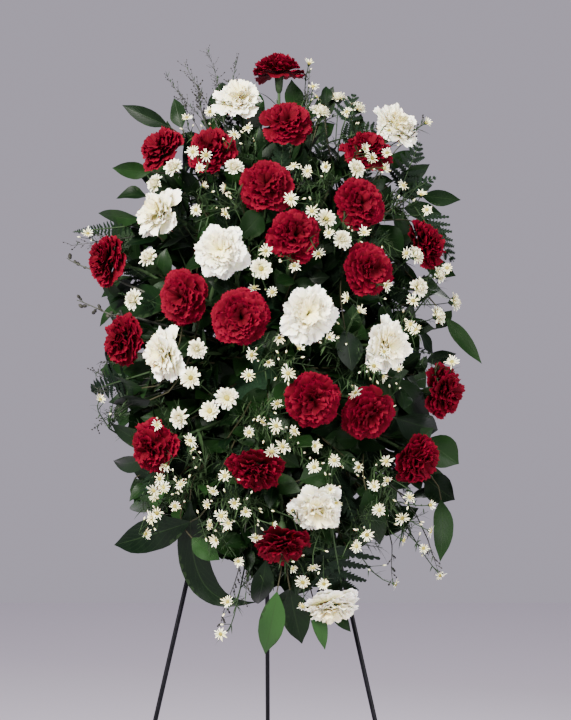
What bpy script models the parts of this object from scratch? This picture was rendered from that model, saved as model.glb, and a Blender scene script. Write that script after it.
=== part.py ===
"""A standing funeral spray: carnations, button chrysanthemums, asters, lemon leaf and leatherleaf fern
that stand in a block of wet foam, whose tray hangs on the hook of a three-legged wire easel.

Metres, +Z up. The origin is on the floor, midway between the front feet and the rear foot.
The front faces -Y. Places on the front are given in the easel's own plane: across, up its slope
from the floor, and out from it towards the viewer.
"""

import math
import random

import bmesh
import bpy
from mathutils import Matrix, Vector
from mathutils.bvhtree import BVHTree
from mathutils.geometry import interpolate_bezier

MM = 0.001
GAP = 0.3 * MM
SEED = 20

# Easel
EASEL_HEIGHT = 1372 * MM
FOOT_SPREAD = 307 * MM
FRONT_REACH = 380 * MM
REAR_REACH = 380 * MM
APEX_FORWARD = 30 * MM
LEG_RADIUS = 3.175 * MM
LEG_TOP_SPREAD = 3.6 * MM
CROSS_RADIUS = 2.5 * MM
CROSS_OVERHANG = 8 * MM
CROSS_WIRE_DROPS = {
    "hinge_cross_wire": 160 * MM,
    "middle_cross_wire": 290 * MM,
    "lower_cross_wire": 996 * MM,
}
EYE_RADIUS = 6 * MM
EYE_TURN = math.radians(255)
EYE_STEPS = 10
BELOW_FLOOR = 10 * MM

# Hook: the route of its J, up from its bottom and out from the plane of the legs, in millimetres
HOOK_RADIUS = 2.5 * MM
HOOK_BOTTOM_DROP = 44 * MM
HOOK_ROUTE = ((42, 4.9), (8, 5.0), (2, 6.8), (0, 11), (0, 15), (2, 19.4), (7, 21.6), (14, 22.2))

# Tray and foam
FOAM_DROP = 178 * MM
FOAM_SIZE = Vector((110, 230, 80)) * MM
FOAM_CHAMFER = 5 * MM
TRAY_WALL = 2.5 * MM
TRAY_SIZE = Vector((120, 240, 18)) * MM
TRAY_OUT = 3.6 * MM
TAB_WIDTH = 20 * MM
TAB_TOP_DROP = 33.5 * MM
TAB_OUT = 10.7 * MM
EYE_SLOT = Vector((8, 11)) * MM

# The dome on which the flowers lie: half its width, half its height and its depth
DOME = Vector((262, 400, 235)) * MM
RIM_OUT = 35 * MM

# The view in which the flowers' places were read, in the pixels of a 571 x 720 picture
EYE = Vector((0.027, -2.45, 1.207))
FOCAL_PIXELS = 1700.0
MIDDLE_PIXEL = (285.5, 360.0)

# Stems, and the holes in the foam that they stand in
STEM_RADIUS = 2.2 * MM
MAIN_STEM_RADIUS = 1.8 * MM
TWIG_RADIUS = 1.2 * MM
STALK_RADIUS = 1.0 * MM
KNOT_RADIUS = 9 * MM
CALYX_LENGTH = 26 * MM
CALYX_RADIUS = 6.6 * MM
CALYX_SWELL = 5 * MM
ROOT_SINK = 2 * MM
TUNNEL_PLAY = 0.5 * MM

# Flower heads. A ring of petals is its radius at a petal, its radius at a notch, its height and the
# rise of its ruffle, all in millimetres, and the step by which its petals are turned.
CARNATION_PETALS = 5
CARNATION_RINGS = ((36, 27, 14, 2.5, 0), (17, 17, 16, 0, 0), (29, 20, 25, 2.5, 1), (16, 10, 34, 2, 2))
CARNATION_TOP = 28
CARNATION_MIDDLE = 17 * MM
RED_SIZE = 1.0
WHITE_SIZE = 0.97
SMALL_PETALS = 5
MUM_RINGS = ((14, 11, 5, 0.6, 0), (9, 9, 7, 0, 0), (11, 8, 11, 0.6, 1))
MUM_TOP = 14
ASTER_RINGS = ((10.5, 4.5, 2.5, 0, 0),)
ASTER_TOP = 3.2
PETAL_VARIETY = 0.04

# Leaves and fronds
BLADE = 0.8 * MM
LEAF_HALF_WIDTHS = (0.03, 0.92, 0.86, 0.0)
INNER_LEAF = Vector((78, 42)) * MM
LEAFLET_PAIRS = 7
RIB_HALF_WIDTH = 1.3 * MM

# Room between nodes, how often a piece is tried in another place, and how far each try moves it
CLEARANCE = 0.7 * MM
TRIES = 60
SIDE_STEM_TRIES = 8
SWAY = 1.2 * MM
SIDE_STEM_SWAY = 4 * MM
CARNATION_STEP = 3 * MM
SMALL_HEAD_STEP = 4 * MM
BLADE_STEP = 5 * MM
INNER_LEAF_SWAY = 2 * MM

# Every head: its pixel, its turn to the viewer's right and its tip upwards in degrees
RED_CARNATIONS = [
    (279, 68, 0, 70), (287, 120, 5, 35), (160, 148, -45, 35), (211, 149, -15, 35),
    (267, 185, 0, 15), (294, 236, 5, 5), (362, 202, 20, 15), (368, 150, 20, 45),
    (105, 261, -60, 10), (120, 340, -55, 0), (181, 296, -30, 0), (240, 317, -5, 0),
    (370, 269, 25, 5), (428, 242, 60, 20), (313, 400, 5, -15), (370, 416, 20, -25),
    (446, 391, 55, 0), (419, 461, 45, -25), (255, 472, -5, -55), (151, 447, -40, -10),
    (282, 547, 0, -50),
]
WHITE_CARNATIONS = [
    (239, 98, -10, 45), (157, 210, -45, 15), (219, 251, -15, 5), (398, 124, 40, 40),
    (309, 315, 8, 0), (162, 357, -50, -5), (388, 345, 30, 0), (318, 512, 8, -35),
    (331, 611, 10, -65),
]

# Carnation stems by the part of the foam they stand in: root across, up and out from the foam's
# middle on the easel's plane, in millimetres, then the numbers of their red and white heads
CARNATION_STEMS = {
    "upper_left": ((-22, 62, 48), (3, 4, 5), (1, 2)),
    "upper_right": ((22, 62, 48), (1, 2, 7, 8), (4,)),
    "left": ((-24, 2, 48), (9, 10, 11, 12), (3, 6)),
    "right": ((24, 2, 48), (6, 13, 14, 17), (5, 7)),
    "lower": ((0, -64, 48), (15, 16, 18, 19, 20, 21), (8, 9)),
}

# Sprays of small heads: root, then the fork as a pixel and a share of the dome, then the heads' pixels
MUM_SPRAYS = {
    "mum_spray_upper_left": (
        (-42, 34, 40), (190, 235, 0.62),
        [(174, 168), (156, 184), (149, 258), (134, 300)],
    ),
    "mum_spray_lower_left": (
        (-42, -34, 40), (215, 370, 0.55),
        [(191, 378), (227, 398), (210, 411), (180, 418)],
    ),
    "mum_spray_top": (
        (0, 92, 40), (320, 165, 0.62),
        [(338, 100), (320, 113), (356, 169), (326, 219), (342, 240), (261, 269)],
    ),
    "mum_spray_right": (
        (42, 12, 34), (395, 285, 0.62),
        [(415, 256), (418, 288), (438, 275), (453, 302)],
    ),
}
ASTER_SPRAYS = {
    "aster_spray_upper_left": (
        (-2, 34, 62), (215, 190, 0.66),
        [
            (210, 112), (193, 152), (234, 135), (226, 188), (196, 210), (88, 234),
            (266, 251), (272, 292),
        ],
    ),
    "aster_spray_upper_right": (
        (10, 96, 62), (335, 175, 0.66),
        [
            (309, 64), (347, 112), (389, 131), (426, 123), (364, 149), (308, 171),
            (312, 211), (364, 233), (421, 195),
        ],
    ),
    "aster_spray_lower_right": (
        (34, -40, 56), (350, 400, 0.62),
        [
            (359, 312), (329, 338), (288, 373), (399, 370), (416, 330), (355, 392),
            (390, 408), (387, 480), (430, 531), (440, 575), (395, 584),
        ],
    ),
    "aster_spray_lower_left": (
        (-30, -66, 60), (225, 430, 0.62),
        [
            (100, 400), (194, 450), (166, 465), (181, 485), (145, 534), (213, 492),
            (246, 511), (217, 540), (221, 634), (277, 403), (272, 451),
        ],
    ),
}

# Leafy branches: root, fork, then each leaf as base pixel, tip pixel and width in millimetres
SALAL_BRANCHES = {
    "salal_upper_left": (
        (-44, 82, 28), (205, 175, 0.5),
        [
            ((168, 126), (122, 105), 24), ((182, 128), (174, 98), 26), ((150, 172), (112, 168), 26),
            ((140, 219), (98, 213), 24), ((172, 306), (107, 298), 50), ((262, 212), (238, 240), 36),
        ],
    ),
    "salal_lower_left": (
        (-44, -84, 28), (215, 440, 0.5),
        [
            ((150, 455), (113, 460), 26), ((190, 522), (114, 545), 44), ((165, 488), (131, 512), 34),
            ((192, 530), (246, 606), 34), ((205, 540), (224, 562), 24),
        ],
    ),
    "salal_bottom": (
        (-16, -102, 30), (285, 520, 0.5),
        [
            ((276, 592), (266, 654), 38), ((290, 590), (302, 644), 40), ((312, 600), (326, 648), 20),
            ((266, 560), (258, 604), 30), ((300, 480), (338, 468), 34), ((336, 560), (352, 630), 30),
        ],
    ),
    "salal_lower_right": (
        (46, -84, 28), (370, 440, 0.5),
        [
            ((425, 440), (459, 464), 46), ((425, 478), (455, 500), 44), ((441, 500), (440, 562), 30),
            ((396, 418), (438, 430), 44), ((392, 378), (432, 422), 36), ((366, 490), (380, 545), 34),
        ],
    ),
    "salal_upper_right": (
        (46, 84, 28), (375, 220, 0.5),
        [
            ((422, 196), (461, 200), 24), ((446, 318), (482, 364), 22), ((380, 225), (400, 258), 40),
            ((325, 104), (326, 86), 18), ((345, 330), (352, 372), 36),
        ],
    ),
}

# Leaves on the branches' main stems, which cover the foam: the pixels that their tips point at
INNER_LEAVES = {
    "salal_upper_left": [(255, 225), (195, 270)],
    "salal_lower_left": [(245, 365)],
    "salal_bottom": [(255, 465), (335, 510)],
    "salal_lower_right": [(325, 395), (400, 490)],
    "salal_upper_right": [(325, 265), (405, 300)],
}

# Fern: root, fork, then each frond as base pixel, tip pixel and width in millimetres
FERN_BRANCHES = {
    "fern_right": (
        (48, 46, 33), (350, 230, 0.5),
        [((385, 185), (444, 146), 80), ((405, 215), (460, 262), 80)],
    ),
    "fern_left": (
        (-48, -8, 31), (200, 320, 0.5),
        [((150, 372), (92, 392), 80), ((160, 236), (76, 232), 60)],
    ),
    "fern_bottom": (
        (16, -100, 36), (300, 500, 0.5),
        [((325, 545), (356, 606), 80)],
    ),
}

# Colour, roughness and metallic value
FINISHES = {
    "wire_green": ((0.010, 0.022, 0.016), 0.45, 0.6),
    "tray_green": ((0.02, 0.09, 0.04), 0.5, 0.0),
    "foam_green": ((0.05, 0.14, 0.06), 0.95, 0.0),
    "petal_red": ((0.42, 0.005, 0.018), 0.6, 0.0),
    "petal_white": ((0.86, 0.85, 0.78), 0.6, 0.0),
    "stem_green": ((0.10, 0.20, 0.07), 0.6, 0.0),
    "leaf_green": ((0.03, 0.10, 0.03), 0.35, 0.0),
    "fern_green": ((0.03, 0.11, 0.04), 0.5, 0.0),
}
SMOOTH_UNDER = math.radians(40)

for old in list(bpy.data.objects):
    bpy.data.objects.remove(old)

# The easel's plane
APEX = Vector((0, -APEX_FORWARD, EASEL_HEIGHT))
FOOT_MIDDLE = Vector((0, -FRONT_REACH, 0))
ACROSS = Vector((1, 0, 0))
SLOPE = (APEX - FOOT_MIDDLE).normalized()
OUTWARD = ACROSS.cross(SLOPE)
PLANE_LENGTH = (APEX - FOOT_MIDDLE).length
FOAM_UP = PLANE_LENGTH - FOAM_DROP
FOAM_OUT = TRAY_OUT + TRAY_WALL + GAP


def on_plane(across, up, out):
    return FOOT_MIDDLE + ACROSS * across + SLOPE * up + OUTWARD * out


def by_plane(vector):
    """A direction's shares across, up the slope and out."""
    return Vector((vector.dot(ACROSS), vector.dot(SLOPE), vector.dot(OUTWARD)))


def plane_matrix(across, up, out):
    turned = Matrix((ACROSS, SLOPE, OUTWARD)).transposed().to_4x4()
    return Matrix.Translation(on_plane(across, up, out)) @ turned


DOME_MIDDLE = on_plane(0, FOAM_UP, 0)

# Collections and materials
spray_parts = bpy.data.collections.new("standing_funeral_spray")
cutters = bpy.data.collections.new("cutters")
for collection in (spray_parts, cutters):
    bpy.context.scene.collection.children.link(collection)

materials = {}
for finish_name, (colour, roughness, metallic) in FINISHES.items():
    material = bpy.data.materials.new(finish_name)
    material.use_nodes = True
    shader = material.node_tree.nodes["Principled BSDF"]
    shader.inputs["Base Color"].default_value = (*colour, 1)
    shader.inputs["Roughness"].default_value = roughness
    shader.inputs["Metallic"].default_value = metallic
    material.diffuse_color = (*colour, 1)
    materials[finish_name] = material


def add_part(name, mesh, finishes):
    mesh.name = name
    mesh.materials.clear()
    for finish in finishes:
        mesh.materials.append(materials[finish])
    mesh.shade_smooth()
    mesh.set_sharp_from_angle(angle=SMOOTH_UNDER)
    part = bpy.data.objects.new(name, mesh)
    spray_parts.objects.link(part)
    return part


def add_cutter(name, mesh, collection):
    cutter = bpy.data.objects.new(name, mesh)
    cutter.hide_render = True
    cutter.display_type = "WIRE"
    collection.objects.link(cutter)
    return cutter


def mesh_from(shape, matrix=None):
    """A mesh from a bmesh, moved to its place, its faces facing out."""
    if matrix is not None:
        shape.transform(matrix)
    bmesh.ops.recalc_face_normals(shape, faces=shape.faces)
    if shape.calc_volume(signed=True) < 0:
        bmesh.ops.reverse_faces(shape, faces=shape.faces)
    mesh = bpy.data.meshes.new("piece")
    shape.to_mesh(mesh)
    shape.free()
    return mesh


def wire(points, radii, roundness):
    """A wire or stem through the points as a closed mesh, with 4 sides and 2 more for each step of roundness."""
    curve = bpy.data.curves.new("route", "CURVE")
    curve.dimensions = "3D"
    curve.bevel_depth = 1.0
    curve.bevel_resolution = roundness
    curve.use_fill_caps = True
    spline = curve.splines.new("POLY")
    spline.points.add(len(points) - 1)
    for spline_point, place, radius in zip(spline.points, points, radii):
        spline_point.co = (*place, 1)
        spline_point.radius = radius
    holder = bpy.data.objects.new("route", curve)
    mesh = bpy.data.meshes.new_from_object(holder)
    bpy.data.objects.remove(holder)
    bpy.data.curves.remove(curve)
    shape = bmesh.new()
    shape.from_mesh(mesh)
    bmesh.ops.remove_doubles(shape, verts=shape.verts, dist=0.01 * MM)
    bpy.data.meshes.remove(mesh)
    return mesh_from(shape)


def even_wire(points, radius, roundness=0):
    return wire(points, [radius] * len(points), roundness)


def knot(place, radius):
    """The ball in which a group's stems meet, deep in the foam."""
    shape = bmesh.new()
    bmesh.ops.create_icosphere(shape, subdivisions=1, radius=radius)
    return mesh_from(shape, Matrix.Translation(place))


def cut_at_floor(mesh):
    shape = bmesh.new()
    shape.from_mesh(mesh)
    everything = shape.verts[:] + shape.edges[:] + shape.faces[:]
    bmesh.ops.bisect_plane(
        shape, geom=everything, plane_co=(0, 0, 0), plane_no=(0, 0, 1), clear_inner=True
    )
    bmesh.ops.holes_fill(shape, edges=[edge for edge in shape.edges if edge.is_boundary])
    return mesh_from(shape)


def box(size, matrix):
    shape = bmesh.new()
    bmesh.ops.create_cube(shape, size=1, matrix=Matrix.Diagonal((*size, 1)))
    return mesh_from(shape, matrix)


def apply_modifiers(part):
    graph = bpy.context.evaluated_depsgraph_get()
    finished = bpy.data.meshes.new_from_object(part.evaluated_get(graph))
    part.modifiers.clear()
    part.data = finished


def keep_largest_shell(part):
    """Leaves out scraps that the union cut loose, and fills hollows that it closed."""
    shape = bmesh.new()
    shape.from_mesh(part.data)
    shells = []
    seen = set()
    for first in shape.verts:
        if first in seen:
            continue
        seen.add(first)
        shell = [first]
        for vert in shell:
            near = [edge.other_vert(vert) for edge in vert.link_edges]
            new = [other for other in near if other not in seen]
            seen.update(new)
            shell.extend(new)
        shells.append(shell)
    shells.sort(key=len)
    for shell in shells[:-1]:
        bmesh.ops.delete(shape, geom=shell, context="VERTS")
    shape.to_mesh(part.data)
    shape.free()


def fuse(name, pieces, finishes):
    """One closed node from pieces that run into each other."""
    part = add_part(name, pieces[0], finishes)
    others = bpy.data.collections.new(name + "_pieces")
    spray_parts.children.link(others)
    for number, piece in enumerate(pieces[1:]):
        others.objects.link(bpy.data.objects.new(f"{name}_piece_{number}", piece))
    union = part.modifiers.new("join", "BOOLEAN")
    union.operation = "UNION"
    union.operand_type = "COLLECTION"
    union.collection = others
    union.solver = "MANIFOLD"
    apply_modifiers(part)
    keep_largest_shell(part)
    for piece_object in list(others.objects):
        bpy.data.objects.remove(piece_object)
    bpy.data.collections.remove(others)
    return part


# What stands so far: the node, the corners of its box and a tree of its faces
standing = []


def box_and_tree(places, mesh):
    low = [min(place[axis] for place in places) for axis in range(3)]
    high = [max(place[axis] for place in places) for axis in range(3)]
    return low, high, BVHTree.FromPolygons(places, [face.vertices[:] for face in mesh.polygons])


def stand(node, mesh):
    standing.append((node, *box_and_tree([vert.co.copy() for vert in mesh.vertices], mesh)))


def is_clear(mesh, passed=()):
    """Whether the mesh, grown by the clearance, crosses nothing that stands but the nodes passed."""
    places = [vert.co + vert.normal * CLEARANCE for vert in mesh.vertices]
    low, high, tree = box_and_tree(places, mesh)
    for node, other_low, other_high, other_tree in standing:
        if node in passed:
            continue
        if any(low[axis] > other_high[axis] or high[axis] < other_low[axis] for axis in range(3)):
            continue
        if tree.overlap(other_tree):
            return False
    return True


def add_solid(name, mesh, finish):
    part = add_part(name, mesh, [finish])
    stand(name, part.data)


# Easel, tray and foam


def make_easel():
    for side, name in ((-1, "front_leg_left"), (1, "front_leg_right")):
        top = on_plane(side * LEG_TOP_SPREAD, PLANE_LENGTH, 0)
        foot = on_plane(side * FOOT_SPREAD, 0, 0)
        below = foot + (foot - top).normalized() * BELOW_FLOOR
        leg = even_wire([below, top], LEG_RADIUS, roundness=4)
        add_solid(name, cut_at_floor(leg), "wire_green")
    behind = -(LEG_RADIUS + CROSS_RADIUS + GAP)
    for name, drop in CROSS_WIRE_DROPS.items():
        leg_spread = LEG_TOP_SPREAD + (FOOT_SPREAD - LEG_TOP_SPREAD) * drop / PLANE_LENGTH
        half = leg_spread + CROSS_OVERHANG
        ends = [on_plane(side * half, PLANE_LENGTH - drop, behind) for side in (-1, 1)]
        add_solid(name, even_wire(ends, CROSS_RADIUS, roundness=3), "wire_green")
    make_rear_leg(on_plane(0, PLANE_LENGTH - CROSS_WIRE_DROPS["hinge_cross_wire"], behind))
    make_top_hook()


def make_rear_leg(hinge):
    """The straight leg runs up to a tangent of its eye and goes round the hinge wire."""
    foot = Vector((0, REAR_REACH, 0))
    down = (foot - hinge).normalized()
    back = down.cross(ACROSS)
    swing = math.asin(EYE_RADIUS / (foot - hinge).length)
    outer = back * math.cos(swing) + down * math.sin(swing)
    touch = hinge + outer * EYE_RADIUS
    straight = (foot - touch).normalized()
    points = [foot + straight * BELOW_FLOOR]
    for step in range(EYE_STEPS + 1):
        turn = EYE_TURN * step / EYE_STEPS
        spoke = outer * math.cos(turn) - straight * math.sin(turn)
        points.append(hinge + spoke * EYE_RADIUS)
    leg = even_wire(points, LEG_RADIUS, roundness=2)
    add_solid("rear_leg", cut_at_floor(leg), "wire_green")


def make_top_hook():
    """A wire welded on the front of the legs' tops, bent into a J."""
    bottom = PLANE_LENGTH - HOOK_BOTTOM_DROP
    points = [on_plane(0, bottom + up * MM, out * MM) for up, out in HOOK_ROUTE]
    add_solid("top_hook", even_wire(points, HOOK_RADIUS, roundness=2), "wire_green")


def make_tray():
    """An open dish with a tab whose eye hangs over the hook."""
    outer = box(TRAY_SIZE, plane_matrix(0, FOAM_UP, TRAY_OUT + TRAY_SIZE.z / 2))
    tab_foot = FOAM_UP + TRAY_SIZE.y / 2 - TRAY_WALL
    tab_top = PLANE_LENGTH - TAB_TOP_DROP
    tab_size = (TAB_WIDTH, tab_top - tab_foot, TRAY_WALL)
    tab = box(tab_size, plane_matrix(0, (tab_top + tab_foot) / 2, TAB_OUT + TRAY_WALL / 2))
    tray = fuse("foam_tray", [outer, tab], ["tray_green"])
    inside_size = TRAY_SIZE - Vector((2, 2, 0)) * TRAY_WALL
    inside = box(inside_size, plane_matrix(0, FOAM_UP, TRAY_OUT + TRAY_WALL + TRAY_SIZE.z / 2))
    slot_top = PLANE_LENGTH - HOOK_BOTTOM_DROP + HOOK_RADIUS + GAP
    slot_size = (*EYE_SLOT, 4 * TRAY_WALL)
    slot = box(slot_size, plane_matrix(0, slot_top - EYE_SLOT.y / 2, TAB_OUT + TRAY_WALL / 2))
    for name, mesh in (("tray_inside", inside), ("tray_eye", slot)):
        cut = tray.modifiers.new(name, "BOOLEAN")
        cut.operation = "DIFFERENCE"
        cut.object = add_cutter(name, mesh, cutters)
    apply_modifiers(tray)
    stand("foam_tray", tray.data)


def make_foam(tunnels):
    shape = bmesh.new()
    bmesh.ops.create_cube(shape, size=1, matrix=Matrix.Diagonal((*FOAM_SIZE, 1)))
    front_edges = [edge for edge in shape.edges if all(vert.co.z > 0 for vert in edge.verts)]
    bmesh.ops.bevel(shape, geom=front_edges, offset=FOAM_CHAMFER, segments=1, affect="EDGES")
    mesh = mesh_from(shape, plane_matrix(0, FOAM_UP, FOAM_OUT + FOAM_SIZE.z / 2))
    foam = add_part("foam_block", mesh, ["foam_green"])
    holes = bpy.data.collections.new("foam_tunnels")
    cutters.children.link(holes)
    for number, tunnel in enumerate(tunnels):
        add_cutter(f"foam_tunnel_{number}", tunnel, holes)
    cut = foam.modifiers.new("tunnels", "BOOLEAN")
    cut.operation = "DIFFERENCE"
    cut.operand_type = "COLLECTION"
    cut.collection = holes
    cut.solver = "MANIFOLD"


# Places on the dome


def sight(pixel):
    """The direction in which the eye sees a pixel."""
    across = (pixel[0] - MIDDLE_PIXEL[0]) / FOCAL_PIXELS
    up = (MIDDLE_PIXEL[1] - pixel[1]) / FOCAL_PIXELS
    return Vector((across, 1, up))


def on_dome(pixel, share=1.0):
    """The place that a pixel sees on the dome, or on the flat rim plane round it."""
    ray = sight(pixel)
    start = by_plane(EYE - DOME_MIDDLE)
    step = by_plane(ray)
    start_ball = Vector(start[i] / (DOME[i] * share) for i in range(3))
    step_ball = Vector(step[i] / (DOME[i] * share) for i in range(3))
    a = step_ball.dot(step_ball)
    b = start_ball.dot(step_ball)
    c = start_ball.dot(start_ball) - 1
    inside = b * b - a * c
    travel = (RIM_OUT - start.z) / step.z
    if inside > 0:
        travel = min(travel, (-b - math.sqrt(inside)) / a)
    return EYE + ray * travel


def facing(turn, tip):
    turn = math.radians(turn)
    tip = math.radians(tip)
    return Vector((math.sin(turn) * math.cos(tip), -math.cos(turn) * math.cos(tip), math.sin(tip)))


def dome_facing(place, share_of_eye):
    """Out of the dome at a place, drawn towards the eye by a share."""
    offset = by_plane(place - DOME_MIDDLE)
    slope = [offset[i] / DOME[i] ** 2 for i in range(3)]
    normal = (ACROSS * slope[0] + SLOPE * slope[1] + OUTWARD * slope[2]).normalized()
    to_eye = (EYE - place).normalized()
    return normal.lerp(to_eye, share_of_eye).normalized()


def in_foam(place):
    offset = by_plane(place - on_plane(0, FOAM_UP, FOAM_OUT + FOAM_SIZE.z / 2))
    return all(abs(offset[axis]) < FOAM_SIZE[axis] / 2 for axis in range(3))


def back_and_forth(attempt, step):
    """Nothing, a step on, a step back, two steps on and so forth."""
    steps = (attempt + 1) // 2
    return steps * step if attempt % 2 else -steps * step


def random_vector(reach, rng):
    return Vector(rng.uniform(-reach, reach) for _ in range(3))


def head_matrix(place, axis, roll):
    """A head's place and turn: its own +Z along the axis, rolled about it."""
    turned = axis.to_track_quat("Z", "Y").to_matrix().to_4x4()
    return Matrix.Translation(place) @ turned @ Matrix.Rotation(roll, 4, "Z")


# Flower heads


def rosette(petals, corners, rings, top, size, rng):
    """A head of petals in rings, from a sphere's rings, closed at its base and at its top."""
    segments = petals * corners
    last_level = len(rings) + 1
    scale = size * MM
    shape = bmesh.new()
    bmesh.ops.create_uvsphere(shape, u_segments=segments, v_segments=last_level, radius=1)
    for vert in shape.verts:
        level = round((math.asin(max(-1, min(1, vert.co.z))) / math.pi + 0.5) * last_level)
        if level in (0, last_level):
            vert.co = (0, 0, top * scale if level else 0)
            continue
        petal_radius, notch_radius, height, ruffle, shift = rings[level - 1]
        turn = math.atan2(vert.co.y, vert.co.x)
        step = (round(turn / math.tau * segments) + shift) % segments
        radius = notch_radius
        if step % corners:
            radius = petal_radius * (1 + rng.uniform(-PETAL_VARIETY, PETAL_VARIETY))
            height += ruffle if step % 2 else -ruffle
        vert.co = Vector((radius * math.cos(turn), radius * math.sin(turn), height)) * scale
    bmesh.ops.triangulate(shape, faces=shape.faces)
    return shape


def carnation_head(size, rng):
    return rosette(CARNATION_PETALS, 3, CARNATION_RINGS, CARNATION_TOP, size, rng)


def mum_head(rng):
    return rosette(SMALL_PETALS, 2, MUM_RINGS, MUM_TOP, 1, rng)


def aster_head(rng):
    return rosette(SMALL_PETALS, 2, ASTER_RINGS, ASTER_TOP, 1, rng)


def set_carnations(kind, heads, full_size, finish, rng):
    """The heads, each moved along the line of sight until it is clear, with the top of each calyx."""
    tops = {}
    for number, (px, py, turn, tip) in enumerate(heads, start=1):
        name = f"{kind}_carnation_{number:02d}"
        axis = facing(turn, tip)
        ray = sight((px, py)).normalized()
        middle = on_dome((px, py))
        for attempt in range(TRIES):
            top = middle + ray * back_and_forth(attempt, CARNATION_STEP) - axis * CARNATION_MIDDLE
            size = full_size * (1 - 0.002 * attempt)
            matrix = head_matrix(top + axis * GAP, axis, rng.uniform(0, math.tau))
            mesh = mesh_from(carnation_head(size, rng), matrix)
            if is_clear(mesh):
                break
            bpy.data.meshes.remove(mesh)
        else:
            print("no room for", name)
            continue
        add_solid(name, mesh, finish)
        tops[kind, number] = (name, top, axis)
    return tops


# Stems


def find_route(node, start, end, leave, arrive, shape, rng, passed=(), steps=3, tries=TRIES, sway=SWAY):
    """The first of many bent routes on which a stem is clear of other nodes: its points and its mesh.

    The shape makes the stem's mesh from its points."""
    length = (end - start).length
    for attempt in range(tries):
        first = start + leave * length * rng.uniform(0.25, 0.45) + random_vector(attempt * sway, rng)
        second = end - arrive * length * rng.uniform(0.2, 0.4) + random_vector(attempt * sway, rng)
        points = interpolate_bezier(start, first, second, end, steps)
        mesh = shape(points)
        if is_clear(mesh, (node, *passed)):
            return points, mesh
        bpy.data.meshes.remove(mesh)
    return None


def begun_behind(points, distance):
    """The points, with the first one moved back along the stem."""
    start = points[0] - (points[1] - points[0]).normalized() * distance
    return [start, *points[1:]]


def root_place(root):
    return on_plane(root[0] * MM, FOAM_UP + root[1] * MM, root[2] * MM)


def tunnel_for(points, radius):
    """A stem's own hole in the foam, square, with the radius at its corners."""
    return even_wire(begun_behind(points, ROOT_SINK + 2 * TUNNEL_PLAY), radius)


def calyx_stem(points, top, axis):
    swell = points[-1] + axis * CALYX_SWELL
    radii = [STEM_RADIUS] * len(points) + [0.85 * CALYX_RADIUS, CALYX_RADIUS]
    return wire([*begun_behind(points, ROOT_SINK), swell, top], radii, 1)


def make_carnation_stems(tops, tunnels, rng):
    """The stems of a group leave one knot, and each ends in the calyx under its own head."""
    for group, (root, reds, whites) in CARNATION_STEMS.items():
        node = f"carnation_stems_{group}"
        start = root_place(root)
        pieces = [knot(start, KNOT_RADIUS)]
        stand(node, pieces[0])
        tunnels.append(knot(start, KNOT_RADIUS + TUNNEL_PLAY))
        for key in [("red", number) for number in reds] + [("white", number) for number in whites]:
            head, top, axis = tops[key]
            bottom = top - axis * CALYX_LENGTH
            leave = (bottom - start).normalized()

            def shape(points, top=top, axis=axis):
                return calyx_stem(points, top, axis)

            found = find_route(node, start, bottom, leave, axis, shape, rng, passed=(head,))
            if found is None:
                print("no route to", head)
                continue
            points, mesh = found
            stand(node, mesh)
            pieces.append(mesh)
            tunnels.append(tunnel_for(points, (STEM_RADIUS + GAP) * math.sqrt(2)))
        fuse(node, pieces, ["stem_green"])


def make_main_stem(node, root, fork, tunnels, rng):
    """A branch's main stem from the foam to its fork: its points and its pieces so far."""
    start = root_place(root)
    end = on_dome(fork[:2], fork[2])
    heading = (end - start).normalized()

    def shape(points):
        return even_wire(begun_behind(points, ROOT_SINK), MAIN_STEM_RADIUS)

    points, mesh = find_route(node, start, end, heading, heading, shape, rng, steps=4)
    stand(node, mesh)
    tunnels.append(tunnel_for(points, MAIN_STEM_RADIUS + TUNNEL_PLAY * math.sqrt(2)))
    return points, [mesh]


def add_side_stem(node, pieces, start, end, arrive, radius, rng):
    """A thin stalk or twig from the main stem, if it finds a clear way."""
    leave = (end - start).normalized()

    def shape(points):
        return even_wire(points, radius)

    found = find_route(
        node, start, end, leave, arrive, shape, rng, tries=SIDE_STEM_TRIES, sway=SIDE_STEM_SWAY
    )
    if found is None:
        return False
    stand(node, found[1])
    pieces.append(found[1])
    return True


def shares_of(count, low, high):
    return [low + (high - low) * number / max(1, count - 1) for number in range(count)]


def place_along(points, share):
    spot = share * (len(points) - 1)
    number = min(int(spot), len(points) - 2)
    return points[number].lerp(points[number + 1], spot - number)


def add_small_heads(node, main, pixels, make_head, share, share_of_eye, rng):
    """Small heads on stalks that leave the main stem, each in the first clear place."""
    points, pieces = main
    for pixel, along in zip(pixels, shares_of(len(pixels), 0.55, 0.98)):
        start = place_along(points, along)
        ray = sight(pixel).normalized()
        place = on_dome(pixel, share)
        for attempt in range(TRIES):
            spot = place + ray * back_and_forth(attempt % 20, SMALL_HEAD_STEP)
            axis = dome_facing(spot, share_of_eye)
            head = mesh_from(make_head(rng), head_matrix(spot, axis, rng.uniform(0, math.tau)))
            joint = spot + axis * MM
            if is_clear(head) and add_side_stem(node, pieces, start, joint, axis, STALK_RADIUS, rng):
                stand(node + " heads", head)
                for face in head.polygons:
                    face.material_index = 1
                pieces.append(head)
                break
            bpy.data.meshes.remove(head)
        else:
            print("no room in", node, "for", pixel)


# Leaves and fronds


def thicken(shape):
    bmesh.ops.triangulate(shape, faces=shape.faces)
    bmesh.ops.recalc_face_normals(shape, faces=shape.faces)
    bmesh.ops.solidify(shape, geom=shape.faces[:], thickness=BLADE)
    return shape


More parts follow.
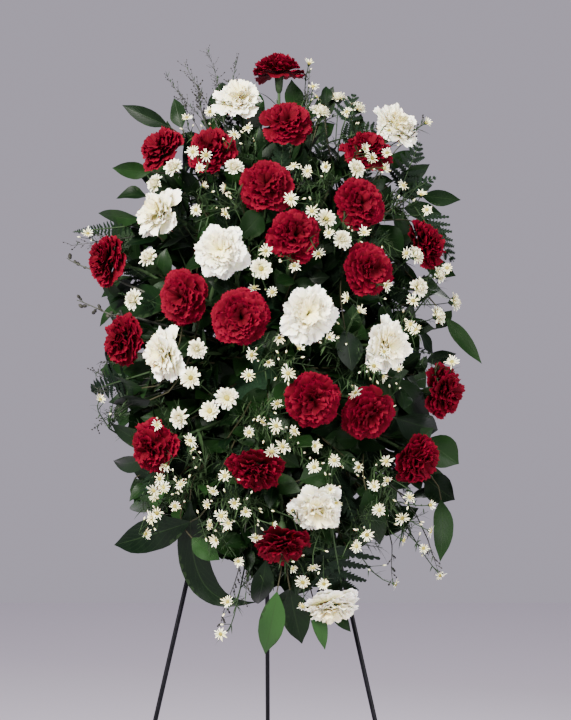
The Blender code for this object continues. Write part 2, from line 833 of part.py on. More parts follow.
def salal_leaf(length, width, rng):
    """A pointed leaf along +X, folded along its midrib and arched."""
    arch = rng.uniform(0.02, 0.1)
    fold = rng.uniform(0.1, 0.3)
    rows = len(LEAF_HALF_WIDTHS) - 1
    shape = bmesh.new()
    bmesh.ops.create_grid(shape, x_segments=rows, y_segments=2, size=0.5)
    for vert in shape.verts:
        along = vert.co.x + 0.5
        side = vert.co.y * 2
        half = LEAF_HALF_WIDTHS[round(along * rows)] * width / 2
        rise = arch * length * math.sin(along * math.pi) + fold * abs(side) * half
        vert.co = (along * length, side * half, rise)
    bmesh.ops.remove_doubles(shape, verts=shape.verts, dist=0.1 * MM)
    return thicken(shape)


def fern_frond(length, width, rng):
    """A frond along +X: a thin blade whose outline is cut to the rib between its leaflets."""
    arch = rng.uniform(0.04, 0.1)
    shape = bmesh.new()
    bmesh.ops.create_grid(shape, x_segments=2 * LEAFLET_PAIRS, y_segments=2, size=0.5)
    for vert in shape.verts:
        along = vert.co.x + 0.5
        side = vert.co.y * 2
        reach = RIB_HALF_WIDTH
        sweep = 0
        if round(along * 2 * LEAFLET_PAIRS) % 2 and side:
            reach = width / 2 * (1 - 0.9 * along ** 1.5)
            sweep = 0.45 * reach
        rise = arch * length * math.sin(along * math.pi) - 0.15 * abs(side) * reach
        vert.co = (0.93 * along * length + sweep, side * reach, rise)
    return thicken(shape)


def blade_matrix(base, tip, roll):
    """The blade's +X runs from base to tip, and its +Z faces the front, turned by the roll."""
    along = (tip - base).normalized()
    face = (EYE - base).normalized()
    face = (face - along * face.dot(along)).normalized()
    across = face.cross(along)
    turned = Matrix((along, across, face)).transposed().to_4x4()
    return Matrix.Translation(base) @ turned @ Matrix.Rotation(roll, 4, "X")


def add_blades(node, main, blades, make_blade, share, rng):
    """Leaves or fronds on twigs that leave the main stem, each in the first clear place."""
    points, pieces = main
    for (base_pixel, tip_pixel, width), along in zip(blades, shares_of(len(blades), 0.5, 0.98)):
        start = place_along(points, along)
        for attempt in range(TRIES):
            depth = back_and_forth(attempt % 16, BLADE_STEP)
            tip_depth = depth + rng.uniform(-3, 3) * BLADE_STEP
            base = on_dome(base_pixel, share) + sight(base_pixel) * depth
            tip = on_dome(tip_pixel, share) + sight(tip_pixel) * tip_depth
            roll = rng.uniform(-0.5, 0.5) * (0.4 + attempt / TRIES)
            blade = make_blade((tip - base).length, width * MM, rng)
            mesh = mesh_from(blade, blade_matrix(base, tip, roll))
            heading = (tip - base).normalized()
            joint = base + heading * MM
            if is_clear(mesh) and add_side_stem(node, pieces, start, joint, heading, TWIG_RADIUS, rng):
                stand(node + " blades", mesh)
                pieces.append(mesh)
                break
            bpy.data.meshes.remove(mesh)
        else:
            print("no room in", node, "for", base_pixel)


def add_inner_leaves(node, main, tip_pixels, rng):
    """Leaves that leave the main stem itself, each in the first clear place."""
    points, pieces = main
    for tip_pixel, middle in zip(tip_pixels, (0.65, 0.85)):
        towards = on_dome(tip_pixel, 0.7)
        for attempt in range(TRIES):
            base = place_along(points, middle + rng.uniform(-0.15, 0.15))
            heading = towards - base + random_vector(attempt * INNER_LEAF_SWAY, rng)
            tip = base + heading.normalized() * INNER_LEAF.x * rng.uniform(0.8, 1.0)
            roll = rng.uniform(-0.5, 0.5) * (1 + attempt / TRIES)
            blade = salal_leaf((tip - base).length, INNER_LEAF.y, rng)
            mesh = mesh_from(blade, blade_matrix(base, tip, roll))
            if not in_foam(base) and is_clear(mesh, (node,)):
                stand(node + " blades", mesh)
                pieces.append(mesh)
                break
            bpy.data.meshes.remove(mesh)
        else:
            print("no room in", node, "towards", tip_pixel)


def make_spray():
    """The flowers and foliage, in the order in which they take their room. It gives the foam's tunnels."""
    rng = random.Random(SEED)
    tunnels = []
    tops = set_carnations("red", RED_CARNATIONS, RED_SIZE, "petal_red", rng)
    tops.update(set_carnations("white", WHITE_CARNATIONS, WHITE_SIZE, "petal_white", rng))
    make_carnation_stems(tops, tunnels, rng)
    mains = {}
    for node, (root, fork, _) in (MUM_SPRAYS | ASTER_SPRAYS | SALAL_BRANCHES | FERN_BRANCHES).items():
        mains[node] = make_main_stem(node, root, fork, tunnels, rng)
    foam_outline = box(FOAM_SIZE, plane_matrix(0, FOAM_UP, FOAM_OUT + FOAM_SIZE.z / 2))
    stand("foam_block", foam_outline)
    bpy.data.meshes.remove(foam_outline)
    for node, (_, _, pixels) in MUM_SPRAYS.items():
        add_small_heads(node, mains[node], pixels, mum_head, 1.0, 0.2, rng)
    for node, (_, _, pixels) in ASTER_SPRAYS.items():
        add_small_heads(node, mains[node], pixels, aster_head, 1.08, 0.5, rng)
    for node, (_, _, leaves) in SALAL_BRANCHES.items():
        add_blades(node, mains[node], leaves, salal_leaf, 0.9, rng)
    for node, (_, _, fronds) in FERN_BRANCHES.items():
        add_blades(node, mains[node], fronds, fern_frond, 0.85, rng)
    for node, tip_pixels in INNER_LEAVES.items():
        add_inner_leaves(node, mains[node], tip_pixels, rng)
    for node, (_, pieces) in mains.items():
        finishes = ["stem_green", "petal_white"]
        if node in SALAL_BRANCHES:
            finishes = ["leaf_green"]
        if node in FERN_BRANCHES:
            finishes = ["fern_green"]
        fuse(node, pieces, finishes)
    return tunnels


make_easel()
make_tray()
make_foam(make_spray())
bpy.context.view_layer.update()
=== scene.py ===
import math

import bpy
import numpy as np
from mathutils.bvhtree import BVHTree
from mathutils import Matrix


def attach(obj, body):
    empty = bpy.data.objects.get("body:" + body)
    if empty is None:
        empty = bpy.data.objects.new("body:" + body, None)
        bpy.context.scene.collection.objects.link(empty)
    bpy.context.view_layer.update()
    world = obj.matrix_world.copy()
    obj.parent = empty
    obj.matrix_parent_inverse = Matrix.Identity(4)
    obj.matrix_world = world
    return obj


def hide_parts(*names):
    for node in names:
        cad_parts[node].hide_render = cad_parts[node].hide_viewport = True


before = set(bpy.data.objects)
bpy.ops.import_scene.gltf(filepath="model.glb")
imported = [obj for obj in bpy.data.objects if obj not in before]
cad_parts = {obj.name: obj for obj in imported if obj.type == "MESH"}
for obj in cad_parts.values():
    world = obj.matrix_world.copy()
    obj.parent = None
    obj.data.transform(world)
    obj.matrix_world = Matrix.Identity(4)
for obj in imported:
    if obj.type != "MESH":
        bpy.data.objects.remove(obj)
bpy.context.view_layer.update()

mm = 0.001
print("frame loaded:", len(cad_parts), "nodes")

# where the photograph was taken from, and the plane and dome that the flowers lie on
view = {"eye": np.array([0.027, -2.45, 1.207]), "focalPixels": 1700.0, "middle": (285.5, 360.0), "lens": 85}
easel = {"apex": np.array([0, -0.030, 1.372]), "foot": np.array([0, -0.380, 0]), "foamDrop": 0.178}
dome = {"half": np.array([0.262, 0.400, 0.235]), "rimOut": 0.035}
foam = {"size": np.array([0.110, 0.230, 0.080]), "out": 0.0064, "round": 0.007, "rough": 0.0012}

across = np.array([1.0, 0, 0])
slope = easel["apex"] - easel["foot"]
planeLength = np.linalg.norm(slope)
slope = slope / planeLength
outward = np.cross(across, slope)
foamUp = planeLength - easel["foamDrop"]


# small vector helpers

def unit(vector):
    vector = np.asarray(vector, float)
    return vector / max(np.linalg.norm(vector), 1e-12)


def mix(pair, share):
    return pair[0] + (pair[1] - pair[0]) * share


def smooth(share):
    share = np.clip(share, 0, 1)
    return share * share * (3 - 2 * share)


def onPlane(x, up, out):
    return easel["foot"] + across * x + slope * up + outward * out


def byPlane(vector):
    return np.array([vector @ across, vector @ slope, vector @ outward])


def bezier(start, first, second, end, count):
    t = np.linspace(0, 1, count)[:, None]
    return (1 - t) ** 3 * start + 3 * (1 - t) ** 2 * t * first + 3 * (1 - t) * t ** 2 * second + t ** 3 * end


def turned(axis, roll):
    # three columns: two across, and the axis itself
    side = unit(np.cross(axis, [0.13, 0.9, 0.41]))
    other = np.cross(axis, side)
    first = side * math.cos(roll) + other * math.sin(roll)
    return np.stack([first, np.cross(axis, first), axis], axis=1)


domeMiddle = onPlane(0, foamUp, 0)


def sight(pixel):
    x = (pixel[0] - view["middle"][0]) / view["focalPixels"]
    up = (view["middle"][1] - pixel[1]) / view["focalPixels"]
    return np.array([x, 1.0, up])


def onDome(pixel, share=1.0):
    ray = sight(pixel)
    start = byPlane(view["eye"] - domeMiddle)
    step = byPlane(ray)
    half = dome["half"] * share
    a = (step / half) @ (step / half)
    b = (start / half) @ (step / half)
    c = (start / half) @ (start / half) - 1
    inside = b * b - a * c
    travel = (dome["rimOut"] - start[2]) / step[2]
    if inside > 0:
        travel = min(travel, (-b - math.sqrt(inside)) / a)
    return view["eye"] + ray * travel


def domeShare(place):
    return np.linalg.norm(byPlane(place - domeMiddle) / dome["half"])


def domeFacing(place, shareOfEye):
    offset = byPlane(place - domeMiddle) / dome["half"] ** 2
    normal = unit(across * offset[0] + slope * offset[1] + outward * offset[2])
    return unit(mix((normal, unit(view["eye"] - place)), shareOfEye))


def facing(turn, tip):
    turn, tip = math.radians(turn), math.radians(tip)
    return np.array([math.sin(turn) * math.cos(tip), -math.cos(turn) * math.cos(tip), math.sin(tip)])


def nodePoints(name):
    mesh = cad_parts[name].data
    points = np.zeros(len(mesh.vertices) * 3)
    mesh.vertices.foreach_get("co", points)
    return points.reshape(-1, 3)


def nodeTree(names):
    points, faces = [], []
    for name in names:
        start = len(points)
        points += nodePoints(name).tolist()
        faces += [[start + i for i in face.vertices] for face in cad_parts[name].data.polygons]
    return BVHTree.FromPolygons(points, faces)


def seenAt(tree, pixel):
    # where the photograph's eye meets these solids through a pixel
    ray = sight(pixel)
    hit = tree.ray_cast(view["eye"], ray / np.linalg.norm(ray))
    return None if hit[0] is None else np.array(hit[0])


# meshes: sheets of quads are collected in a bag and become one piece

def newBag():
    return {"points": [], "tones": [], "quads": [], "slots": [], "count": 0}


def addSheets(bag, sheets, tones, slot=0, loop=False):
    # sheets: number, rows, columns, 3. tones: along, across, chance and depth of each point
    number, rows, columns = sheets.shape[:3]
    index = np.arange(number * rows * columns).reshape(number, rows, columns) + bag["count"]
    if loop:
        index = np.concatenate([index, index[:, :, :1]], axis=2)
    corners = [index[:, :-1, :-1], index[:, :-1, 1:], index[:, 1:, 1:], index[:, 1:, :-1]]
    quads = np.stack(corners, axis=-1).reshape(-1, 4)
    bag["points"].append(sheets.reshape(-1, 3))
    bag["tones"].append(np.broadcast_to(tones, (*sheets.shape[:3], 4)).reshape(-1, 4))
    bag["quads"].append(quads)
    bag["slots"].append(np.full(len(quads), slot))
    bag["count"] += number * rows * columns


def addTube(bag, points, radii, sides, slot=0, chance=0.5, depth=0.0):
    points = np.asarray(points, float)
    count = len(points)
    radii = np.broadcast_to(radii, (count,))
    tangents = np.gradient(points, axis=0)
    normal = unit(np.cross(tangents[0], [0.31, 0.52, 0.79]))
    turn = np.linspace(0, math.tau, sides, endpoint=False)
    rings = np.zeros((1, count, sides, 3))
    for i in range(count):
        tangent = unit(tangents[i])
        normal = unit(normal - tangent * (normal @ tangent))
        other = np.cross(tangent, normal)
        rings[0, i] = points[i] + radii[i] * (np.cos(turn)[:, None] * normal + np.sin(turn)[:, None] * other)
    tones = np.zeros((1, count, sides, 4))
    tones[..., 0] = np.linspace(0, 1, count)[None, :, None]
    tones[..., 1] = (turn / math.tau)[None, None, :]
    tones[..., 2] = chance
    tones[..., 3] = depth
    addSheets(bag, rings, tones, slot, loop=True)


def addTurned(bag, profile, place, axis, sides, roll=0.0, slot=0, chance=0.5, depth=0.0, ripple=None):
    # profile: rows of radius and height along the axis
    profile = np.asarray(profile, float)
    turn = np.linspace(0, math.tau, sides, endpoint=False)
    radius = np.repeat(profile[:, :1], sides, axis=1)
    height = np.repeat(profile[:, 1:2], sides, axis=1)
    if ripple is not None:
        radius, height = ripple(radius, height, turn)
    local = np.stack([radius * np.cos(turn), radius * np.sin(turn), height], axis=-1)
    tones = np.zeros((1, *local.shape[:2], 4))
    tones[..., 0] = np.linspace(0, 1, len(profile))[None, :, None]
    tones[..., 1] = (turn / math.tau)[None, None, :]
    tones[..., 2] = chance
    tones[..., 3] = depth
    addSheets(bag, (place + local @ turned(axis, roll).T)[None], tones, slot, loop=True)


def makePiece(bag, name, materials, replaced=()):
    points = np.concatenate(bag["points"])
    quads = np.concatenate(bag["quads"])
    mesh = bpy.data.meshes.new(name)
    mesh.vertices.add(len(points))
    mesh.vertices.foreach_set("co", points.astype(np.float32).ravel())
    mesh.loops.add(quads.size)
    mesh.loops.foreach_set("vertex_index", quads.astype(np.int32).ravel())
    mesh.polygons.add(len(quads))
    mesh.polygons.foreach_set("loop_start", np.arange(0, quads.size, 4, dtype=np.int32))
    mesh.polygons.foreach_set("material_index", np.concatenate(bag["slots"]).astype(np.int32))
    mesh.update(calc_edges=True)
    tone = mesh.color_attributes.new("tone", "FLOAT_COLOR", "POINT")
    tone.data.foreach_set("color", np.concatenate(bag["tones"]).astype(np.float32).ravel())
    mesh.shade_smooth()
    for material in materials:
        mesh.materials.append(material)
    piece = bpy.data.objects.new(name, mesh)
    bpy.context.scene.collection.objects.link(piece)
    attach(piece, "stand")
    if replaced:
        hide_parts(*replaced)
    return piece


# materials

def addNode(tree, kind, inputs=None, **settings):
    made = tree.nodes.new(kind)
    for key, value in settings.items():
        setattr(made, key, value)
    for key, value in (inputs or {}).items():
        if isinstance(value, bpy.types.NodeSocket):
            tree.links.new(value, made.inputs[key])
        else:
            made.inputs[key].default_value = value
    return made


def maths(tree, operation, first, second=0.0, third=0.0, clamp=False):
    inputs = {0: first, 1: second, 2: third}
    return addNode(tree, "ShaderNodeMath", inputs, operation=operation, use_clamp=clamp).outputs[0]


def ramp(tree, factor, stops):
    made = addNode(tree, "ShaderNodeValToRGB", {"Fac": factor})
    while len(made.color_ramp.elements) < len(stops):
        made.color_ramp.elements.new(0.5)
    for element, (position, colour) in zip(made.color_ramp.elements, stops):
        element.position = position
        element.color = (*colour, 1)
    return made.outputs["Color"]


def blendColour(tree, factor, first, second, way="MIX"):
    made = addNode(tree, "ShaderNodeMix", data_type="RGBA", blend_type=way)
    for index, value in ((0, factor), (6, first), (7, second)):
        if isinstance(value, bpy.types.NodeSocket):
            tree.links.new(value, made.inputs[index])
        else:
            made.inputs[index].default_value = value if index == 0 else (*value, 1)
    return made.outputs[2]


def newMaterial(name, **shaderInputs):
    material = bpy.data.materials.new(name)
    material.use_nodes = True
    tree = material.node_tree
    shader = tree.nodes["Principled BSDF"]
    for key, value in shaderInputs.items():
        shader.inputs[key.replace("_", " ")].default_value = value
    return material, tree, shader


def toneParts(tree):
    tone = addNode(tree, "ShaderNodeAttribute", attribute_name="tone")
    parts = addNode(tree, "ShaderNodeSeparateColor", {"Color": tone.outputs["Color"]}).outputs
    return parts[0], parts[1], parts[2], tone.outputs["Alpha"]


def bump(tree, shader, height, strength, distance):
    made = addNode(tree, "ShaderNodeBump", {"Height": height, "Strength": strength, "Distance": distance})
    tree.links.new(made.outputs["Normal"], shader.inputs["Normal"])


def noise(tree, vector, scale, detail=3.0, roughness=0.55):
    inputs = {"Scale": scale, "Detail": detail, "Roughness": roughness}
    if vector is not None:
        inputs["Vector"] = vector
    return addNode(tree, "ShaderNodeTexNoise", inputs).outputs["Fac"]


def streaks(tree, parts, alongScale, acrossScale, chanceScale=37.0):
    # noise drawn out along each petal or leaf, different on each one
    x = maths(tree, "MULTIPLY", parts[1], acrossScale)
    y = maths(tree, "MULTIPLY", parts[0], alongScale)
    z = maths(tree, "MULTIPLY", parts[2], chanceScale)
    vector = addNode(tree, "ShaderNodeCombineXYZ", {0: x, 1: y, 2: z}).outputs[0]
    return noise(tree, vector, 1.0)


def petalMaterial(name, stops, heart, heartShare, variety, roughness, sheen, sheenTint):
    material, tree, shader = newMaterial(
        name, Roughness=roughness, Sheen_Weight=sheen, Sheen_Roughness=0.4, Sheen_Tint=(*sheenTint, 1),
        Subsurface_Weight=0.12, Subsurface_Scale=0.004, Specular_IOR_Level=0.08,
    )
    parts = toneParts(tree)
    # colour from each petal's base to its edge: in petalRed the dark base is painted shade deep in the bloom,
    # and the bright last stop is a painted highlight along the ruffled edges; in the white petals it is their
    # own green-cream heart and white edge
    colour = ramp(tree, parts[0], stops)
    heartFactor = maths(tree, "MULTIPLY", maths(tree, "POWER", parts[3], 1.7), heartShare)
    colour = blendColour(tree, heartFactor, colour, heart)
    fine = streaks(tree, parts, 1.6, 13.0)
    shade = maths(tree, "MULTIPLY_ADD", fine, variety, 1 - 0.5 * variety)
    shade = maths(tree, "MULTIPLY", shade, maths(tree, "MULTIPLY_ADD", parts[2], variety, 1 - 0.5 * variety))
    shadeColour = addNode(tree, "ShaderNodeCombineColor", {0: shade, 1: shade, 2: shade}).outputs[0]
    colour = blendColour(tree, 1.0, colour, shadeColour, "MULTIPLY")
    tree.links.new(colour, shader.inputs["Base Color"])
    bump(tree, shader, fine, 0.5, 0.0006)
    return material


def leafMaterial(name, dark, light, young, under, rib, veins, roughness, veinDepth):
    material, tree, shader = newMaterial(name, Specular_IOR_Level=0.09)
    parts = toneParts(tree)
    blotch = noise(tree, addNode(tree, "ShaderNodeTexCoord").outputs["Object"], 55.0, 4.0)
    chance = maths(tree, "MULTIPLY_ADD", parts[2], 0.75, maths(tree, "MULTIPLY", blotch, 0.25))
    colour = ramp(tree, chance, [(0.15, dark), (0.80, light), (1.0, young)])
    side = maths(tree, "ABSOLUTE", maths(tree, "MULTIPLY_ADD", parts[1], 2.0, -1.0))
    midrib = maths(tree, "SUBTRACT", 1.0, maths(tree, "MULTIPLY", side, 16.0), clamp=True)
    phase = maths(tree, "MULTIPLY_ADD", parts[0], veins, maths(tree, "MULTIPLY", side, -0.32 * veins))
    wave = maths(tree, "ABSOLUTE", maths(tree, "SINE", maths(tree, "MULTIPLY", phase, math.pi)))
    vein = maths(tree, "SUBTRACT", 1.0, maths(tree, "MULTIPLY", wave, 6.0), clamp=True)
    vein = maths(tree, "MULTIPLY", vein, 0.55)
    lines = maths(tree, "MAXIMUM", midrib, vein)
    colour = blendColour(tree, maths(tree, "MULTIPLY", lines, 0.5), colour, rib)
    colour = blendColour(tree, maths(tree, "MULTIPLY", parts[3], 0.7), colour, under)
    tree.links.new(colour, shader.inputs["Base Color"])
    gloss = maths(tree, "MULTIPLY_ADD", blotch, 0.25, roughness - 0.1)
    gloss = maths(tree, "MULTIPLY_ADD", parts[3], 0.25, gloss)
    tree.links.new(gloss, shader.inputs["Roughness"])
    bump(tree, shader, maths(tree, "MULTIPLY_ADD", blotch, 0.4, lines), veinDepth, 0.0005)
    return material


def stemMaterial(name, low, high, roughness):
    material, tree, shader = newMaterial(name, Roughness=roughness, Specular_IOR_Level=0.15)
    parts = toneParts(tree)
    grain = noise(tree, addNode(tree, "ShaderNodeTexCoord").outputs["Object"], 160.0, 4.0)
    factor = maths(tree, "MULTIPLY_ADD", parts[2], 0.5, maths(tree, "MULTIPLY", grain, 0.6))
    tree.links.new(ramp(tree, factor, [(0.2, low), (0.85, high)]), shader.inputs["Base Color"])
    bump(tree, shader, grain, 0.4, 0.0004)
    return material


def coatedMaterial(name, low, high, scale, roughness, specular, depth):
    # one colour with fine uneven patches, as on painted wire, moulded plastic and foam
    material, tree, shader = newMaterial(name, Specular_IOR_Level=specular)
    place = addNode(tree, "ShaderNodeTexCoord").outputs["Object"]
    patch = noise(tree, place, scale, 5.0, 0.6)
    tree.links.new(ramp(tree, patch, [(0.3, low), (0.7, high)]), shader.inputs["Base Color"])
    tree.links.new(maths(tree, "MULTIPLY_ADD", patch, 0.3, roughness - 0.15), shader.inputs["Roughness"])
    bump(tree, shader, noise(tree, place, scale * 3, 4.0), 0.5, depth)
    return material


# red petals: the dark low stops are painted shade at the petal bases, and the bright stop at the edge is a
# painted highlight along the ruffles
petalRed = petalMaterial(
    "petalRed", [(0.0, (0.018, 0.0, 0.001)), (0.5, (0.058, 0.0, 0.003)), (0.88, (0.085, 0.0, 0.006)),
                 (1.0, (0.130, 0.0, 0.011))],
    (0.050, 0.0, 0.003), 0.35, 0.34, 0.8, 0.0, (1.0, 0.15, 0.25))
petalWhite = petalMaterial(
    "petalWhite", [(0.0, (0.50, 0.56, 0.20)), (0.5, (0.82, 0.78, 0.50)), (0.8, (0.91, 0.88, 0.74)),
                   (1.0, (0.97, 0.96, 0.92))],
    (0.86, 0.76, 0.34), 0.62, 0.10, 0.6, 0.1, (1.0, 1.0, 1.0))
smallWhite = petalMaterial(
    "smallWhite", [(0.0, (0.42, 0.47, 0.14)), (0.45, (0.80, 0.77, 0.48)), (1.0, (0.92, 0.90, 0.78))],
    (0.74, 0.64, 0.26), 0.7, 0.12, 0.6, 0.1, (1.0, 1.0, 1.0))
discYellow = stemMaterial("discYellow", (0.10, 0.075, 0.012), (0.38, 0.32, 0.05), 0.8)
stemGreen = stemMaterial("stemGreen", (0.004, 0.011, 0.003), (0.028, 0.053, 0.020), 0.6)
stemGrey = stemMaterial("stemGrey", (0.006, 0.017, 0.006), (0.030, 0.056, 0.020), 0.6)
stemDark = stemMaterial("stemDark", (0.003, 0.008, 0.003), (0.010, 0.022, 0.008), 0.6)
budGrey = stemMaterial("budGrey", (0.005, 0.005, 0.005), (0.034, 0.034, 0.026), 0.6)
twigGrey = stemMaterial("twigGrey", (0.010, 0.012, 0.009), (0.048, 0.052, 0.040), 0.6)
barkBrown = stemMaterial("barkBrown", (0.009, 0.009, 0.004), (0.032, 0.030, 0.014), 0.7)
salalLeaf = leafMaterial("salalLeaf", (0.0008, 0.0042, 0.0012), (0.0055, 0.0190, 0.0038),
                         (0.014, 0.044, 0.010),
                         (0.010, 0.021, 0.007), (0.014, 0.030, 0.009), 9.0, 0.40, 0.35)
fernLeaf = leafMaterial("fernLeaf", (0.0008, 0.0036, 0.0016), (0.0036, 0.0125, 0.0045), (0.008, 0.024, 0.008),
                        (0.006, 0.013, 0.006), (0.009, 0.019, 0.007), 5.0, 0.6, 0.25)
# foam colour: the dark green of wet foam, darkened further as painted shade for the foam's place deep inside
# the spray
foamGreen = coatedMaterial("foamGreen", (0.006, 0.018, 0.008), (0.016, 0.045, 0.020), 420.0, 0.9, 0.15,
                           0.0008)
trayGreen = coatedMaterial("trayGreen", (0.008, 0.045, 0.020), (0.018, 0.075, 0.034), 90.0, 0.45, 0.3, 0.0002)
wirePaint = coatedMaterial("wirePaint", (0.0012, 0.0012, 0.0022), (0.0035, 0.0032, 0.0055), 130.0, 0.42,
                           0.07, 0.0002)
print("materials made")


# petals of every flower: each starts in the heart, bends outwards, and may ruffle at its edge

carnationLook = {
    "petals": 50, "columns": 17, "along": (0.04, 0.28, 0.46, 0.62, 0.77, 0.90, 1.0),
    "widths": (0.16, 0.34, 0.60, 0.82, 0.96, 1.0, 0.95),
    "length": (33.5, 35), "halfWidth": (17, 11), "claw": (76, 2), "blade": (98, 50),
    "bladeFrom": (0.18, 0.42),
    "chance": 7, "twist": (6, 26), "baseRadius": (4.2, 0.6), "baseHeight": -3, "ruffle": (2.4, 4.6),
    "waves": (1.3, 3.2), "tooth": 1.1, "cup": 0.25, "roundEdge": 0.24, "turnChance": 0.35,
    "lengthChance": 0.04,
    "lean": 4, "forward": 6,
}
mumLook = {
    "petals": 116, "columns": 3, "along": (0.0, 0.35, 0.70, 0.92, 1.0),
    "widths": (0.5, 0.85, 1.0, 0.85, 0.35),
    "length": (10, 8.5), "halfWidth": (1.5, 1.25), "claw": (82, 14), "blade": (104, -36),
    "bladeFrom": (0.2, 0.25),
    "chance": 9, "twist": (6, 10), "baseRadius": (4.4, 0.5), "baseHeight": 0.5, "ruffle": (0.2, 0.2),
    "waves": (0.5, 1.0), "tooth": 0, "cup": 0.5, "roundEdge": 0.0, "turnChance": 0.2, "lengthChance": 0.09,
    "lean": 0.5,
}
openMumLook = {
    **mumLook, "petals": 78, "length": (10.5, 7.5), "halfWidth": (1.45, 1.1), "claw": (84, 56),
    "blade": (98, 34),
    "baseRadius": (4.4, 2.6),
}
asterLook = {
    "petals": 15, "columns": 3, "along": (0.0, 0.35, 0.78, 1.0), "widths": (0.55, 0.9, 1.0, 0.5),
    "length": (8.2, 7.6), "halfWidth": (0.8, 0.7), "claw": (84, 80), "blade": (94, 86),
    "bladeFrom": (0.3, 0.3),
    "chance": 17, "twist": (3, 3), "baseRadius": (1.5, 1.5), "baseHeight": 0.8, "ruffle": (0.1, 0.1),
    "waves": (0.5, 1.0), "tooth": 0, "cup": 0.3, "roundEdge": 0.0, "turnChance": 0.24, "lengthChance": 0.17,
    "lean": 0.3,
}
goldenAngle = math.radians(137.5)


def petalSheets(look, scale, rng):
    # petals in a head's own frame, with the heart at the origin and the axis along z
    # each has a narrow claw that leaves the heart, and a broad blade that bends away from it
    count = look["petals"]
    layer = np.linspace(0, 1, count)
    along = np.array(look["along"])
    side = np.linspace(-1, 1, look["columns"])
    if count < 20:
        turn = (np.arange(count) + rng.uniform(-1, 1, count) * look["turnChance"]) * math.tau / count
    else:
        turn = np.arange(count) * goldenAngle + rng.uniform(-1, 1, count) * look["turnChance"]
    twist = np.radians(mix(look["twist"], layer)) * rng.normal(0, 1, count)
    length = mix(look["length"], layer) * (1 + rng.normal(0, look["lengthChance"], count))
    halfWidth = mix(look["halfWidth"], layer) * (1 + rng.normal(0, 0.06, count))
    claw = np.radians(mix(look["claw"], layer ** 0.9) + rng.normal(0, 0.6, count) * look["chance"])
    blade = np.radians(mix(look["blade"], layer ** 0.9) + rng.normal(0, 1, count) * look["chance"])
    bladeFrom = mix(look["bladeFrom"], layer)
    ruffle = mix(look["ruffle"], layer) * rng.uniform(0.75, 1.2, count)
    reach = along[:, None] * (1 - look["roundEdge"] * side[None, :] ** 2 * along[:, None] ** 2)
    reach = np.repeat(reach[None], count, axis=0)
    teeth = np.where(np.arange(len(side)) % 2, 1.0, -1.0) * look["tooth"] / length[:, None]
    reach[:, -1, :] += teeth * rng.uniform(0.3, 1.3, (count, len(side)))
    fine = np.linspace(0, 1.2, 49)
    radius = np.zeros(reach.shape)
    height = np.zeros(reach.shape)
    lean = np.zeros(reach.shape)
    for i in range(count):
        angle = claw[i] + (blade[i] - claw[i]) * smooth((fine - bladeFrom[i]) / 0.4)
        step = fine[1] - fine[0]
        lineRadius = np.concatenate([[0], np.cumsum(np.sin(angle[1:]))]) * step * length[i]
        lineHeight = np.concatenate([[0], np.cumsum(np.cos(angle[1:]))]) * step * length[i]
        radius[i] = np.interp(reach[i], fine, lineRadius)
        height[i] = np.interp(reach[i], fine, lineHeight)
        lean[i] = np.interp(reach[i], fine, angle)
    phase = rng.uniform(0, math.tau, (2, count, 1, 1))
    waves = rng.uniform(0.75, 1.25, (2, count, 1, 1)) * np.array(look["waves"])[:, None, None, None] * math.pi
    swell = along[None, :, None] ** 2 * ruffle[:, None, None]
    fold = 0.7 * np.sin(waves[0] * side + phase[0])
    fold = fold + 0.42 * np.sin(waves[1] * side + phase[1]) * along[None, :, None]
    fold = fold * swell
    wide = np.array(look["widths"])[None, :, None] * halfWidth[:, None, None]
    sideways = wide * side + 0.35 * np.cos(waves[1] * side + phase[0]) * swell
    inward = look["cup"] * (side ** 2) * wide
    outward3 = radius + np.cos(lean) * (fold - inward)
    rise = look["baseHeight"] + height - np.sin(lean) * (fold - 0.4 * inward)
    away, start = turn + twist, turn
    cosine, sine = np.cos(away)[:, None, None], np.sin(away)[:, None, None]
    rootX = (mix(look["baseRadius"], layer) * np.cos(start))[:, None, None]
    rootY = (mix(look["baseRadius"], layer) * np.sin(start))[:, None, None]
    x = rootX + outward3 * cosine - sideways * sine
    y = rootY + outward3 * sine + sideways * cosine
    bias = rng.uniform(0, math.tau)
    x = x + math.cos(bias) * look["lean"] * rise / 30
    y = y + math.sin(bias) * look["lean"] * rise / 30
    tones = np.zeros((*reach.shape, 4))
    tones[..., 0] = along[None, :, None]
    tones[..., 1] = (side * 0.5 + 0.5)[None, None, :]
    tones[..., 2] = rng.uniform(0, 1, count)[:, None, None]
    tones[..., 3] = layer[:, None, None]
    return np.stack([x, y, rise], axis=-1) * scale * mm, tones


def addPetals(bag, look, place, axis, scale, rng, slot):
    sheets, tones = petalSheets(look, scale, rng)
    addSheets(bag, place + sheets @ turned(axis, rng.uniform(0, math.tau)).T, tones, slot)


# carnations: pixel, turn to the right and tip upwards of each head

redCarnations = [
    (279, 68, 0, 88), (287, 120, 5, 35), (160, 148, -45, 35), (211, 149, -15, 35),
    (267, 185, 0, 15), (294, 236, 5, 5), (362, 202, 20, 15), (368, 150, 20, 45),
    (105, 261, -60, 10), (120, 340, -55, 0), (181, 296, -30, 0), (240, 317, -5, 0),
    (370, 269, 25, 5), (428, 242, 60, 20), (313, 400, 5, -15), (370, 416, 20, -25),
    (446, 391, 55, 0), (419, 461, 45, -25), (255, 472, -5, -55), (151, 447, -40, -10),
    (282, 547, 0, -64),
]
whiteCarnations = [
    (239, 98, -10, 45), (157, 210, -50, 15), (219, 251, -15, 5), (398, 124, 40, 40),
    (309, 315, 8, 0), (162, 357, -56, -5), (388, 345, 44, 0), (318, 512, 8, -35),
    (331, 611, 10, -60),
]
carnationGroups = {
    "upper_left": ((-22, 62, 48), (3, 4, 5), (1, 2)),
    "upper_right": ((22, 62, 48), (1, 2, 7, 8), (4,)),
    "left": ((-24, 2, 48), (9, 10, 11, 12), (3, 6)),
    "right": ((24, 2, 48), (6, 13, 14, 17), (5, 7)),
    "lower": ((0, -64, 48), (15, 16, 18, 19, 20, 21), (8, 9)),
}
